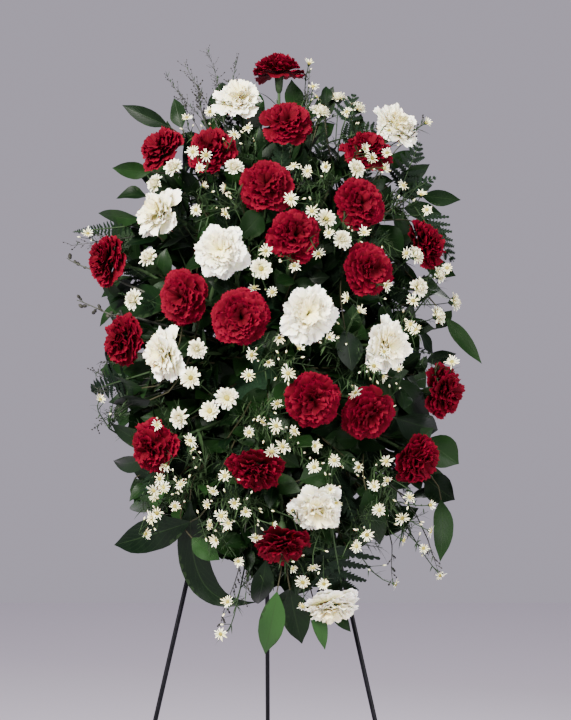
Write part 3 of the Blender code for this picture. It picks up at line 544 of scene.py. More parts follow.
carnationStem = {
    "radius": 2.2, "points": 14, "sides": 8, "calyxLength": 26, "calyxSides": 20,
    "knuckleEvery": 42, "knuckle": [(2.2, -4), (2.7, -2), (3.1, 0), (2.6, 2), (2.2, 4)],
    "leafLength": (34, 60), "leafHalf": 2.4,
}
calyxProfile = [
    (2.3, -26), (3.1, -24.5), (4.6, -22), (5.3, -18), (5.8, -12), (6.2, -6), (6.6, -1), (6.9, 2.5),
    (6.6, 5.0),
]


sideLooks = {
    ("red", 1): {"petals": 62, "blade": (106, 34), "length": (36.5, 33), "chance": 5},
    ("red", 21): {"blade": (98, 62), "bladeFrom": (0.16, 0.3)},
    ("white", 9): {"petals": 62, "blade": (97, 58), "bladeFrom": (0.12, 0.26), "length": (39.5, 32),
                   "ruffle": (1.9, 3.2), "tooth": 0.8, "lengthChance": 0.03},
}


def camelName(node):
    first, *others = node.split("_")
    return first + "".join(word.capitalize() for word in others)


def makeCarnations(kind, heads, look, scale, material, seed):
    bases = {}
    for number, (*_, turn, tip) in enumerate(heads, start=1):
        node = f"{kind}_carnation_{number:02d}"
        rng = np.random.default_rng(seed + number)
        axis = facing(turn, tip)
        points = nodePoints(node)
        base = points[(points @ axis).argmin()] + axis * look["forward"] * mm
        bag = newBag()
        share = rng.uniform(0.75, 1.2)
        ruffle = (look["ruffle"][0] * share, look["ruffle"][1] * share)
        ownLook = {**look, "ruffle": ruffle, "petals": look["petals"] + int(rng.integers(-6, 7))}
        ownLook.update(sideLooks.get((kind, number), {}))
        addPetals(bag, ownLook, base, axis, scale * rng.uniform(0.97, 1.03), rng, 0)
        makePiece(bag, camelName(node), [material], [node])
        bases[kind, number] = (base, axis)
    return bases


calyxRim = {"sepals": 5, "rise": 5.0, "flare": 1.0, "lowerRise": 1.5}


def toothedRim(radius, height, turn):
    # the top rows rise to the sepals' points and fall between them
    point = np.abs(((turn * calyxRim["sepals"] / math.tau) % 1) - 0.5) * 2
    radius, height = radius / mm, height / mm
    height[-1] += (point - 0.5) * calyxRim["rise"]
    radius[-1] += (point - 0.5) * calyxRim["flare"]
    height[-2] += (point - 0.5) * calyxRim["lowerRise"]
    return radius * mm, height * mm


def narrowLeaf(bag, place, heading, length, halfWidth, droop, rng, slot):
    # a carnation's or aster's own leaf: a narrow channel that arches over
    s = np.linspace(0, 1, 6)
    across3 = unit(np.cross(heading, [0.2, 0.1, 1.0]))
    up = np.cross(across3, heading)
    centre = place + heading * (s * length)[:, None] + up * (0.25 * length * s)[:, None]
    centre = centre - np.array([0, 0, droop * length]) * (s ** 2)[:, None]
    width = halfWidth * np.array([0.6, 1.0, 1.0, 0.85, 0.5, 0.05])
    side = np.array([-1.0, 0.0, 1.0])
    sheet = centre[:, None] + side[None, :, None] * width[:, None, None] * across3
    sheet = sheet + (np.abs(side)[None, :, None] * 0.35 * width[:, None, None]) * up
    tones = np.zeros((1, 6, 3, 4))
    tones[..., 0] = s[None, :, None]
    tones[..., 1] = (side * 0.5 + 0.5)[None, None, :]
    tones[..., 2] = rng.uniform(0, 1)
    addSheets(bag, sheet[None], tones, slot)


def makeCarnationStems(bases):
    look = carnationStem
    for group, (root, reds, whites) in carnationGroups.items():
        rng = np.random.default_rng(len(group) * 7 + 3)
        start = onPlane(root[0] * mm, foamUp + root[1] * mm, root[2] * mm)
        bag = newBag()
        for key in [("red", number) for number in reds] + [("white", number) for number in whites]:
            base, axis = bases[key]
            bottom = base - axis * (look["calyxLength"] - 1) * mm
            length = np.linalg.norm(bottom - start)
            leave = unit(bottom - start)
            route = bezier(start, start + leave * length * 0.35, bottom - axis * length * 0.3, bottom,
                           look["points"])
            radii = np.full(look["points"], look["radius"] * mm)
            addTube(bag, route, radii, look["sides"], chance=rng.uniform(0, 1))
            addTurned(bag, np.array(calyxProfile) * mm, base, axis, look["calyxSides"],
                      rng.uniform(0, math.tau),
                      chance=0.35 + 0.4 * rng.uniform(), ripple=toothedRim)
            walked = 0.0
            for i in range(3, look["points"] - 1):
                walked += np.linalg.norm(route[i] - route[i - 1]) / mm
                if walked < look["knuckleEvery"]:
                    continue
                walked = 0.0
                along = unit(route[i] - route[i - 1])
                addTurned(bag, np.array(look["knuckle"]) * mm, route[i], along, look["sides"], chance=0.6)
                for flip in (-1, 1):
                    sideways = turned(along, rng.uniform(0, math.tau))[:, 0] * flip
                    heading = unit(along * 0.8 + sideways)
                    leafLength = rng.uniform(*look["leafLength"]) * mm
                    narrowLeaf(bag, route[i], heading, leafLength, look["leafHalf"] * mm, 0.3, rng, 1)
        node = f"carnation_stems_{group}"
        makePiece(bag, camelName(node), [stemGreen, stemGrey], [node])


whiteLook = {
    **carnationLook, "petals": 48, "halfWidth": (15.5, 10.5), "length": (35, 34), "blade": (98, 44),
    "tooth": 1.2,
    "bladeFrom": (0.14, 0.34),
    "chance": 9, "lengthChance": 0.11, "roundEdge": 0.28,
}
bases = makeCarnations("red", redCarnations, carnationLook, 1.0, petalRed, 100)
bases.update(makeCarnations("white", whiteCarnations, whiteLook, 0.94, petalWhite, 200))
makeCarnationStems(bases)
print("carnations made")


# room for the foliage: it keeps out of the heads, of the easel's legs and of the rear leg's way

headDepth = 16  # mm from a head's base to its middle
headMiddles = np.array([base + axis * headDepth * mm for base, axis in bases.values()])
headAxes = np.array([axis for _, axis in bases.values()])
blooms = nodeTree([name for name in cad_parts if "carnation_" in name and "stems" not in name])
roomLook = {
    "headRadius": 32, "headHalf": 14, "hidden": 26, "leg": 8, "behind": 10, "behindWidth": 60,
    "rows": (60, 80, 100, 130, 160, 200, 240, 300, 350, 400, 450, 500, 540, 570, 600, 640, 660),
    "left": (262, 222, 182, 150, 135, 115, 97, 98, 98, 100, 122, 128, 146, 184, 240, 258, 275),
    "right": (312, 340, 402, 432, 442, 452, 458, 464, 468, 462, 456, 452, 444, 388, 368, 335, 320),
    "columns": (100, 130, 170, 200, 212, 236, 256, 268, 300, 330, 341, 351, 372, 400, 450, 470),
    "bottom": (470, 505, 535, 548, 556, 576, 583, 612, 622, 612, 598, 560, 550, 550, 505, 400),
}


def pixelOf(points):
    travel = points[..., 1] - view["eye"][1]
    x = view["middle"][0] + view["focalPixels"] * (points[..., 0] - view["eye"][0]) / travel
    y = view["middle"][1] - view["focalPixels"] * (points[..., 2] - view["eye"][2]) / travel
    return np.stack([x, y], axis=-1)


headPixels = pixelOf(headMiddles)


def hasRoom(points, mayCover=False):
    points = points.reshape(-1, 3)
    seen = pixelOf(points)
    left = np.interp(seen[:, 1], roomLook["rows"], roomLook["left"])
    right = np.interp(seen[:, 1], roomLook["rows"], roomLook["right"])
    bottom = np.interp(seen[:, 0], roomLook["columns"], roomLook["bottom"])
    if ((seen[:, 0] < left) | (seen[:, 0] > right) | (seen[:, 1] > bottom)).any():
        return False
    offset = points[:, None] - headMiddles[None]
    height = np.einsum("ijk,jk->ij", offset, headAxes)
    radius = np.sqrt(np.maximum((offset ** 2).sum(-1) - height ** 2, 0))
    if ((radius < roomLook["headRadius"] * mm) & (np.abs(height) < roomLook["headHalf"] * mm)).any():
        return False
    if not mayCover:
        gap = np.linalg.norm(seen[:, None] - headPixels[None], axis=-1)
        front = points[:, None, 1] < headMiddles[None, :, 1]
        if ((gap < roomLook["hidden"]) & front).any():
            return False
    local = points - easel["foot"]
    x, up, out = local @ across, local @ slope, local @ outward
    if ((out < roomLook["behind"] * mm) & (np.abs(x) < roomLook["behindWidth"] * mm)).any():
        return False
    legX = mix((0.1535, 0.0036), np.clip(up / planeLength, 0, 1))
    atLeg = (np.abs(np.abs(x) - legX) < roomLook["leg"] * mm) & (np.abs(out) < roomLook["leg"] * mm)
    return not atLeg.any()


def frontDepth(pixel, share, clearance, rng, sway):
    # on the dome, or in front of a bloom that the line of sight meets first
    ray = sight(pixel)
    place = onDome(pixel, share) + ray * rng.uniform(-sway, sway) * mm
    hit = seenAt(blooms, pixel)
    if hit is not None and hit[1] < place[1] + 0.03:
        place = hit - ray * clearance * mm
    return place


def stalkLine(start, end, arrive, rows, rng, sway=0.12):
    length = np.linalg.norm(end - start)
    leave = unit(unit(end - start) + rng.normal(0, sway, 3))
    return bezier(start, start + leave * length * 0.35, end - arrive * length * 0.35, end, rows)


def addStalk(bag, start, end, arrive, radii, rows, rng, slot=0, sway=0.12, sides=5):
    route = stalkLine(start, end, arrive, rows, rng, sway)
    addTube(bag, route, np.linspace(radii[0], radii[1], rows) * mm, sides, slot, chance=rng.uniform(0, 1))
    return route


# mums and asters: root in the foam, fork as a pixel and share of the dome, and the heads' pixels

mumSprays = {
    "mum_spray_upper_left": ((-42, 34, 40), (190, 235, 0.62),
                             [(174, 168), (156, 184), (149, 258), (134, 300)]),
    "mum_spray_lower_left": ((-42, -34, 40), (215, 370, 0.55),
                             [(191, 378), (227, 398), (210, 411), (180, 418)]),
    "mum_spray_top": ((0, 92, 40), (320, 165, 0.62),
                      [(338, 100), (320, 113), (356, 169), (326, 219), (342, 240), (261, 269)]),
    "mum_spray_right": ((42, 12, 34), (395, 285, 0.62), [(415, 256), (418, 288), (438, 275), (453, 302)]),
}
moreMums = [(234, 168), (356, 109), (437, 316), (197, 349)]
turnedMums = {(338, 100): (0, 74), (320, 113): (35, 58), (356, 109): (42, 58)}
openMums = [(191, 378), (227, 398), (210, 411), (261, 269), (326, 219)]
asterSprays = {
    "aster_spray_upper_left": ((-2, 34, 62), (215, 190, 0.66), [
        (210, 112), (193, 152), (234, 135), (226, 188), (196, 210), (88, 234), (266, 251), (272, 292)]),
    "aster_spray_upper_right": ((10, 96, 62), (335, 175, 0.66), [
        (309, 64), (347, 112), (389, 131), (426, 123), (364, 149), (308, 171), (312, 211), (364, 233),
        (421, 195)]),
    "aster_spray_lower_right": ((34, -40, 56), (350, 400, 0.62), [
        (359, 312), (329, 338), (288, 373), (399, 370), (416, 330), (355, 392), (390, 408), (387, 480),
        (430, 531), (440, 575), (395, 584)]),
    "aster_spray_lower_left": ((-30, -66, 60), (225, 440, 0.52), [
        (100, 400), (194, 450), (166, 465), (181, 485), (145, 534), (213, 492), (246, 511), (217, 540),
        (221, 634), (277, 403), (272, 451)]),
}
moreAsters = [
    (187, 118), (206, 155), (200, 168), (248, 128), (203, 186), (226, 213), (313, 87), (316, 97),
    (391, 122), (387, 153), (384, 168), (372, 158), (294, 167), (326, 167), (291, 199), (403, 186),
    (427, 210), (329, 233), (318, 253), (294, 265), (406, 253), (447, 268), (413, 301), (348, 298),
    (254, 287), (385, 285), (279, 337), (299, 349), (268, 362), (251, 355), (249, 375), (374, 366),
    (383, 376), (384, 352), (411, 324), (452, 362), (249, 432), (263, 421), (276, 426), (294, 431),
    (283, 446), (314, 446), (314, 467), (334, 460), (358, 467), (386, 461), (374, 487), (330, 489),
    (336, 502), (379, 510), (410, 497), (430, 505), (402, 518), (403, 540), (423, 548), (367, 535),
    (356, 546), (303, 606), (292, 568), (313, 567), (303, 582), (324, 584), (293, 511), (157, 425),
    (190, 441), (160, 479), (164, 487), (154, 490), (155, 497), (175, 506), (157, 513), (152, 518),
    (208, 505), (234, 503), (221, 516), (229, 523), (209, 525), (225, 476), (256, 537), (238, 561),
    (228, 602), (272, 524),
]
smallHead = {
    "mumDepth": 9, "asterDepth": 3.2, "mumShare": 1.0, "asterShare": 1.08, "clusterReach": 62,
    "clusterMost": 6,
    "mumCup": [(0.9, -7), (3.4, -5), (6.2, -2.2), (7.4, 0.8)],
    "asterCup": [(0.6, -4.2), (1.5, -3.2), (2.2, -1.2), (2.4, 0.7)],
    "disc": [(2.3, 0.3), (2.7, 1.2), (2.1, 2.1), (1.1, 2.6), (0.05, 2.7)],
    "bud": [(0.25, -2.3), (0.9, -1.3), (1.25, 0.2), (0.95, 1.8), (0.1, 3.0)],
    "leaf": (9, 22), "leafHalf": 0.9, "stalkLeaves": 9, "armLeaves": 16,
    "sprigs": 5, "sprig": (30, 62), "sprigLeaves": 15,
}


def nearestSpray(sprays, pixel):
    def gap(node):
        return min(math.dist(pixel, head) for head in sprays[node][2])
    return min(sprays, key=gap)


def discBumps(radius, height, turn):
    wave = np.sin(turn * 6)[None, :] * np.array([0, 0.2, -0.2, 0.15, 0])[:, None] * mm
    return radius + wave, height + wave


def headPlace(node, pixel, inNode, share, depth, sway, rng):
    if inNode:
        hit = seenAt(nodeTree([node]), pixel)
        if hit is not None:
            return hit + sight(pixel) * depth * mm
    return frontDepth(pixel, share, 10, rng, sway)


def splitInClusters(heads):
    clusters = []
    for head in heads:
        gaps = [np.linalg.norm(np.mean([other[0] for other in cluster], axis=0) - head[0]) / mm
                + 1000 * (len(cluster) >= smallHead["clusterMost"]) for cluster in clusters]
        if gaps and min(gaps) < smallHead["clusterReach"]:
            clusters[int(np.argmin(gaps))].append(head)
        else:
            clusters.append([head])
    return clusters


def addLeaflets(bag, route, count, rng, slot):
    for _ in range(count):
        i = rng.integers(1, len(route) - 1)
        along = unit(route[i + 1] - route[i - 1])
        heading = unit(along * 0.7 + turned(along, rng.uniform(0, math.tau))[:, 0])
        narrowLeaf(bag, route[i], heading, rng.uniform(*smallHead["leaf"]) * mm,
                   smallHead["leafHalf"] * mm, 0.25, rng, slot)


def makeSmallFlowers(sprays, more, isMum):
    kind = "mum" if isMum else "aster"
    for order, (node, (root, fork, pixels)) in enumerate(sprays.items()):
        rng = np.random.default_rng(300 + 10 * order + (100 if isMum else 0))
        heads, flowers, stems = [], newBag(), newBag()
        listed = [(pixel, True) for pixel in pixels]
        listed += [(pixel, False) for pixel in more if nearestSpray(sprays, pixel) == node]
        for pixel, inNode in listed:
            sway = 6 if isMum else 14
            place = headPlace(node, pixel, inNode, smallHead[kind + "Share"], smallHead[kind + "Depth"],
                              sway, rng)
            axis = domeFacing(place, 0.12 if isMum else 0.5)
            axis = unit(axis + rng.normal(0, 0.16 if isMum else 0.50, 3))
            heads.append((place, axis))
            scale = rng.uniform(0.93, 1.05) if isMum else rng.uniform(0.72, 1.04)
            if pixel in turnedMums:
                axis = facing(*turnedMums[pixel])
                heads[-1] = (place, axis)
                scale *= 1.15
            if isMum:
                isOpen = pixel in openMums
                addPetals(flowers, openMumLook if isOpen else mumLook, place, axis, scale, rng, 0)
                if isOpen:
                    addTurned(flowers, np.array(smallHead["disc"]) * 1.25 * mm, place, axis, 14, slot=1,
                              chance=rng.uniform(0, 1), ripple=discBumps)
            else:
                look = {**asterLook, "petals": int(rng.integers(12, 18))}
                if rng.uniform() < 0.34:
                    look = {**look, "claw": (52, 46), "blade": (66, 52), "chance": 10}
                addPetals(flowers, look, place, axis, scale, rng, 0)
                addTurned(flowers, np.array(smallHead["disc"]) * mm, place, axis, 12, slot=1,
                          chance=rng.uniform(0, 1), ripple=discBumps)
            addTurned(stems, np.array(smallHead[kind + "Cup"]) * mm, place, axis, 8, chance=0.4)
        start = onPlane(root[0] * mm, foamUp + root[1] * mm, root[2] * mm)
        forkPlace = onDome(fork[:2], fork[2])
        leave = unit(forkPlace - start)
        main = addStalk(stems, start, forkPlace, leave, (1.8, 1.6), 8, rng, slot=2, sides=6)
        addLeaflets(stems, main, 6, rng, 1)
        cupDepth = (6.5 if isMum else 4.0) * mm
        for cluster in splitInClusters(heads):
            middle = np.mean([place for place, _ in cluster], axis=0)
            facingOut = unit(np.mean([axis for _, axis in cluster], axis=0))
            reach = np.linalg.norm(middle - forkPlace)
            knot = middle - facingOut * min(48 * mm, reach * 0.5) + (forkPlace - middle) * 0.18
            arm = addStalk(stems, forkPlace, knot, unit(facingOut + unit(knot - forkPlace)), (1.4, 1.1),
                           7, rng,
                           slot=2)
            addLeaflets(stems, arm, smallHead["armLeaves"], rng, 1)
            for _ in range(0 if isMum else smallHead["sprigs"]):
                sprigAxis = unit(facingOut + rng.normal(0, 0.65, 3))
                sprigEnd = knot + sprigAxis * rng.uniform(*smallHead["sprig"]) * mm
                if hasRoom(sprigEnd[None]):
                    sprig = addStalk(stems, knot, sprigEnd, sprigAxis, (0.7, 0.4), 7, rng, sides=4)
                    addLeaflets(stems, sprig, smallHead["sprigLeaves"], rng, int(rng.integers(0, 2)))
            for place, axis in cluster:
                end = place - axis * cupDepth
                stalk = addStalk(stems, knot, end, axis, (0.9, 0.65), 7, rng)
                addLeaflets(stems, stalk, 3 if isMum else smallHead["stalkLeaves"], rng, 1)
                for _ in range(0 if isMum else int(rng.integers(1, 4))):
                    i = int(rng.integers(2, 6))
                    budAxis = unit(axis + rng.normal(0, 0.6, 3))
                    tip = stalk[i] + budAxis * rng.uniform(9, 20) * mm
                    addStalk(stems, stalk[i], tip, budAxis, (0.5, 0.4), 4, rng, sides=4)
                    addTurned(flowers, np.array(smallHead["bud"]) * mm, tip + budAxis * 2 * mm, budAxis, 6,
                              chance=rng.uniform(0, 1), depth=0.6)
        name = camelName(node)
        makePiece(flowers, name + "Heads", [smallWhite, discYellow], [node])
        makePiece(stems, name + "Stems", [stemGreen, stemGrey, stemDark])


makeSmallFlowers(mumSprays, moreMums, True)
makeSmallFlowers(asterSprays, moreAsters, False)
print("mums and asters made")


# lemon leaf: branches seen in the photograph, and more that fill the inside

salalBranches = {
    "salal_upper_left": ((-44, 82, 28), (205, 175, 0.5), [
        ((150, 322), (108, 312), 30), ((142, 388), (108, 378), 30), ((150, 400), (112, 404), 30),
        ((168, 126), (122, 105), 24), ((182, 128), (174, 98), 26), ((150, 172), (112, 168), 26, 0.95),
        ((140, 219), (98, 213), 24, 0.9), ((172, 306), (107, 298), 50), ((262, 212), (238, 240), 36)]),
    "salal_lower_left": ((-44, -84, 28), (215, 440, 0.5), [
        ((150, 455), (113, 460), 26), ((190, 522), (114, 545), 44), ((165, 488), (131, 510), 28, 1.15),
        ((192, 538), (220, 560), 26, 1.0)]),
    "salal_bottom": ((-16, -102, 30), (285, 520, 0.5), [
        ((277, 592), (265, 654), 34, 1.25), ((290, 590), (302, 644), 40), ((313, 598), (325, 650), 20, 1.35),
        ((266, 560), (258, 604), 30), ((300, 480), (338, 468), 34), ((334, 608), (351, 632), 18)]),
    "salal_lower_right": ((46, -84, 28), (370, 440, 0.5), [
        ((425, 440), (459, 464), 46), ((425, 478), (455, 500), 44), ((441, 500), (440, 562), 30),
        ((396, 418), (438, 430), 44), ((392, 378), (432, 422), 36), ((366, 490), (380, 545), 34)]),
    "salal_upper_right": ((46, 84, 28), (375, 220, 0.5), [
        ((398, 178), (430, 164), 24), ((396, 192), (432, 186), 24), ((404, 208), (442, 214), 26),
        ((386, 168), (412, 150), 22), ((414, 222), (447, 236), 26), ((424, 262), (456, 276), 26),
        ((422, 196), (461, 200), 24), ((446, 318), (482, 364), 22), ((380, 225), (400, 258), 40),
        ((325, 104), (326, 86), 18), ((345, 330), (352, 372), 36, 0.05)]),
}
curledLeaves = {
    "salal_lower_left": [(((190, 500), (190, 556), (192, 610), (258, 602)), 40)],
}
leafLook = {
    "rows": 12, "columns": 7, "thick": 0.4, "arch": (-0.04, 0.16), "fold": (0.06, 0.34), "wave": 0.05,
    "outline": ((0, 0.05), (0.05, 0.08), (0.12, 0.50), (0.26, 0.90), (0.42, 1.0), (0.60, 0.90),
                (0.76, 0.62), (0.88, 0.30), (0.95, 0.10), (1.0, 0.0)),
}
fillLook = {
    "layers": (
        {"branches": 34, "out": (0.12, 0.03), "shares": (0.86, 0.98), "face": 0.6, "reach": 1.10,
         "size": 0.9},
        {"branches": 14, "out": (0.13, 0.10), "shares": (0.50, 0.62), "face": 0.7, "reach": 1.0, "size": 1.0},
        {"branches": 44, "out": (0.75, 0.14), "shares": (0.66, 0.95), "face": 0.15, "reach": 1.02,
         "size": 0.75},
        {"branches": 20, "out": (0.98, 0.72), "shares": (0.60, 0.88), "face": 0.15, "reach": 0.98,
         "size": 0.72},
        {"branches": 26, "out": (0.98, 0.45), "shares": (0.46, 0.54), "face": 0.4, "reach": 0.9, "size": 0.8},
        {"branches": 40, "out": (0.86, 0.20), "shares": (0.78, 0.90), "face": 0.3, "reach": 0.97,
         "size": 0.6},
    ),
    "step": 22, "first": 7, "length": (44, 82), "width": (0.48, 0.64), "twig": (1.6, 1.0), "tries": 9,
}


def leafLine(base, tip, normal, rng, rows=leafLook["rows"]):
    length = np.linalg.norm(tip - base)
    along = unit(tip - base)
    normal = unit(normal - along * (normal @ along))
    s = np.linspace(0, 1, rows)[:, None] ** 0.9
    arch = rng.uniform(*leafLook["arch"]) * length
    return base + along * s * length + normal * arch * 4 * s * (1 - s)


def leafSheets(line, normal, width, rng, columns=leafLook["columns"]):
    # an upper and an under sheet that meet at the edge
    look = leafLook
    s = np.linspace(0, 1, len(line)) ** 0.9
    side = np.linspace(-1, 1, columns)
    along = np.gradient(line, axis=0)
    along = along / np.linalg.norm(along, axis=1, keepdims=True)
    normals = normal - along * (along @ normal)[:, None]
    normals = normals / np.linalg.norm(normals, axis=1, keepdims=True)
    crossways = np.cross(normals, along)
    half = 0.5 * width * np.interp(s, *zip(*look["outline"]))
    fold = rng.uniform(*look["fold"])
    phase = rng.uniform(0, math.tau, 2)
    wave = np.sin(s * 9 + phase[0])[:, None] * side + np.cos(s * 7 + phase[1])[:, None] * side ** 2
    twist = rng.uniform(-0.5, 0.5) * s[:, None] * side * half[:, None]
    height = fold * np.abs(side) ** 1.4 * half[:, None] + wave * look["wave"] * half[:, None] * 2 + twist
    upper = line[:, None] + (side * half[:, None])[..., None] * crossways[:, None]
    upper = upper + height[..., None] * normals[:, None]
    drop = look["thick"] * mm * (1 - side ** 2) * np.minimum(half / (3 * mm), 1)[:, None]
    under = upper - drop[..., None] * normals[:, None]
    tones = np.zeros((2, len(line), columns, 4))
    tones[..., 0] = s[None, :, None]
    tones[..., 1] = (side * 0.5 + 0.5)[None, None, :]
    tones[..., 2] = rng.uniform(0, 0.88)
    tones[1, ..., 3] = 1
    return np.stack([upper, under[:, ::-1]]), tones


def addSalalTwig(bag, start, end, arrive, rng, radii):
    return addStalk(bag, start, end, arrive, radii, 9, rng, slot=1, sides=6)


def fillLayer(layer, bags, ends, rng):
    look = fillLook
    for i in range(layer["branches"]):
        out = mix(layer["out"], (i + 0.5) / layer["branches"])
        ring = math.sqrt(1 - out * out)
        turn = i * goldenAngle
        direction = np.array([ring * math.cos(turn), ring * math.sin(turn), out])
        local = direction * dome["half"] * rng.uniform(*layer["shares"])
        end = onPlane(local[0], foamUp + local[1], max(local[2], 0.016))
        root = np.clip(direction * np.array([0.072, 0.15, 0.1]), [-0.05, -0.11, 0.022], [0.05, 0.11, 0.08])
        start = onPlane(root[0], foamUp + root[1], root[2])
        node = min(ends, key=lambda name: np.linalg.norm(ends[name] - end))
        normal = domeFacing(end, layer["face"])
        arrive = unit(unit(end - start) + normal * 0.2)
        route = stalkLine(start, end, arrive, 9, rng)
        length = np.linalg.norm(end - start) / mm
        flip, last = 1, 0.0
        walked = look["first"]
        while walked <= length + 4:
            position = min(walked / length, 1.0) * (len(route) - 1)
            j = min(int(position), len(route) - 2)
            base = mix((route[j], route[j + 1]), position - j)
            along = unit(route[j + 1] - route[j])
            for _ in range(look["tries"]):
                sideways = unit(np.cross(along, normal) * flip + rng.normal(0, 0.35, 3))
                heading = unit(along * rng.uniform(0.3, 0.9) + sideways + normal * rng.uniform(-0.2, 0.5))
                if walked > length - 8:
                    heading = unit(along + rng.normal(0, 0.2, 3))
                leafLength = rng.uniform(*look["length"]) * layer["size"] * mm
                tip = base + heading * leafLength
                leafNormal = unit(normal + np.array([0, 0, 0.4]) + rng.normal(0, 0.3, 3))
                width = leafLength * rng.uniform(*look["width"])
                line = leafLine(base, tip, leafNormal, rng, 10)
                sheets, tones = leafSheets(line, leafNormal, width, rng, 5)
                if domeShare(tip) < layer["reach"] and hasRoom(sheets[0]):
                    addSheets(bags[node], sheets, tones, 0)
                    last = position
                    break
            flip = -flip
            walked += look["step"] * layer["size"] * rng.uniform(0.85, 1.2)
        if last > 0:  # the branch ends at its last leaf
            kept = [[np.interp(t, range(9), route[:, k]) for k in range(3)] for t in np.linspace(0, last, 9)]
            addTube(bags[node], kept, np.linspace(*look["twig"], 9) * mm, 6, 1, chance=rng.uniform(0, 1))


def makeSalal():
    bags = {node: newBag() for node in salalBranches}
    ends = {}
    for order, (node, (root, fork, leaves)) in enumerate(salalBranches.items()):
        rng = np.random.default_rng(500 + order)
        bag = bags[node]
        start = onPlane(root[0] * mm, foamUp + root[1] * mm, root[2] * mm)
        forkPlace = onDome(fork[:2], fork[2])
        ends[node] = forkPlace
        main = addSalalTwig(bag, start, forkPlace, unit(forkPlace - start), rng, (2.2, 1.8))
        tree = nodeTree([node])
        for pixels, width in curledLeaves.get(node, []):
            spine = [onDome(pixel, 0.93) for pixel in pixels]
            line = bezier(*spine, 20)
            normal = unit(view["eye"] - spine[1])
            sheets, tones = leafSheets(line, normal, width * mm, rng)
            tones[..., 2] = 0.1
            addSheets(bag, sheets, tones, 0)
            addSalalTwig(bag, main[-2], spine[0], unit(spine[1] - spine[0]), rng, (1.4, 0.9))
        for basePixel, tipPixel, width, *chance in leaves:
            middle = ((basePixel[0] + tipPixel[0]) / 2, (basePixel[1] + tipPixel[1]) / 2)
            hit = seenAt(tree, middle)
            depth = 0 if hit is None else hit[1] - onDome(middle, 0.9)[1]
            depth = float(np.clip(depth, -0.06, 0.06))
            base = onDome(basePixel, 0.9) + sight(basePixel) * depth
            tip = onDome(tipPixel, 0.9) + sight(tipPixel) * depth
            toEye = unit(view["eye"] - base)
            normal = unit(toEye + rng.normal(0, 0.18, 3) + np.array([0.16, 0, -0.2]))
            sheets, tones = leafSheets(leafLine(base, tip, normal, rng), normal, width * mm, rng)
            if chance:
                tones[..., 2] = chance[0]
            addSheets(bag, sheets, tones, 0)
            addSalalTwig(bag, main[-1 - int(rng.integers(0, 3))], base, unit(tip - base), rng, (1.4, 0.9))
    for layer in fillLook["layers"]:
        fillLayer(layer, bags, ends, np.random.default_rng(77 + layer["branches"]))
    for node, bag in bags.items():
        makePiece(bag, camelName(node), [salalLeaf, barkBrown], [node])


makeSalal()
print("lemon leaf made")


# leatherleaf fern: fronds seen in the photograph, and more between the blooms

fernBranches = {
    "fern_right": ((48, 46, 33), (350, 230, 0.5), [
        ((395, 202), (420, 142), 76, 0.9), ((394, 200), (436, 177), 50, 0.9),
        ((414, 206), (454, 262), 80, 0.9), ((342, 130), (354, 94), 62, 0.9),
        ((330, 142), (390, 124), 50, 0.85)]),
    "fern_left": ((-48, -8, 31), (200, 320, 0.5), [
        ((150, 372), (92, 390), 74, 0.9), ((150, 224), (73, 232), 30, 0.9)]),
    "fern_bottom": ((16, -100, 36), (300, 500, 0.5), [
        ((332, 528), (343, 594), 140, 0.97), ((318, 540), (340, 586), 60, 0.8)]),
}
fernLook = {
    "fillSpacing": 8.0, "spacing": (4.0, 0.08), "lobe": 0.62, "lobes": 7, "lean": (64, 32), "droop": 0.18,
    "fillers": 22, "shares": (0.40, 0.97),
}


def addFrond(bag, base, tip, normal, width, rng, spacing):
    look = fernLook
    lobeSize = look["lobe"] * spacing
    length = np.linalg.norm(tip - base)
    along = unit(tip - base)
    normal = unit(normal - along * (normal @ along))
    crossways = np.cross(normal, along)
    s = np.linspace(0, 1, 14)
    line = base + along * (s * length)[:, None] + normal * (0.12 * length * 4 * s * (1 - s))[:, None]
    addTube(bag, line, np.linspace(1.3, 0.6, 14) * mm, 5, 1, chance=0.5)
    sheets = []
    pinnae = max(5, int(0.84 * length / (spacing * mm)))
    for i in range(pinnae):
        share = 0.16 + 0.82 * (i + 0.5) / pinnae
        place = np.array([np.interp(share, s, line[:, k]) for k in range(3)])
        reach = 0.5 * width * (1 - share) ** 0.75 * 1.15 * min(1, (share - 0.05) / 0.16)
        lean = math.radians(mix(look["lean"], share) + rng.normal(0, 4))
        for flip in (-1, 1):
            heading = along * math.cos(lean) + crossways * flip * math.sin(lean)
            heading = unit(heading + normal * rng.normal(-0.08, 0.12))
            beside = np.cross(normal, heading)
            for j in range(look["lobes"]):
                t = (j + 0.4) / look["lobes"]
                lobe = (lobeSize * (1 - t) ** 0.6 + 1.0) * mm * min(1, 0.35 + reach / (30 * mm))
                root = place + heading * reach * t - normal * look["droop"] * reach * t * t
                step = reach / look["lobes"]
                for way in (-1, 1):
                    out = unit(beside * way + heading * 0.75)
                    tipPoint = root + out * lobe
                    wide = heading * step * 0.56
                    lift = normal * lobe * 0.12
                    sheets.append([
                        [root - wide, root, root + wide],
                        [root + out * lobe * 0.6 - wide * 0.8 + lift, root + out * lobe * 0.6,
                         root + out * lobe * 0.6 + wide * 0.8 + lift],
                        [tipPoint - wide * 0.1, tipPoint, tipPoint + wide * 0.1],
                    ])
    sheets = np.array(sheets)
    tones = np.zeros((len(sheets), 3, 3, 4))
    tones[..., 0] = np.array([0.1, 0.5, 1.0])[None, :, None]
    tones[..., 1] = np.array([0.0, 0.5, 1.0])[None, None, :]
    tones[..., 2] = np.clip(rng.uniform(0.2, 0.8) + rng.normal(0, 0.08, len(sheets)), 0, 1)[:, None, None]
    addSheets(bag, sheets, tones, 0)


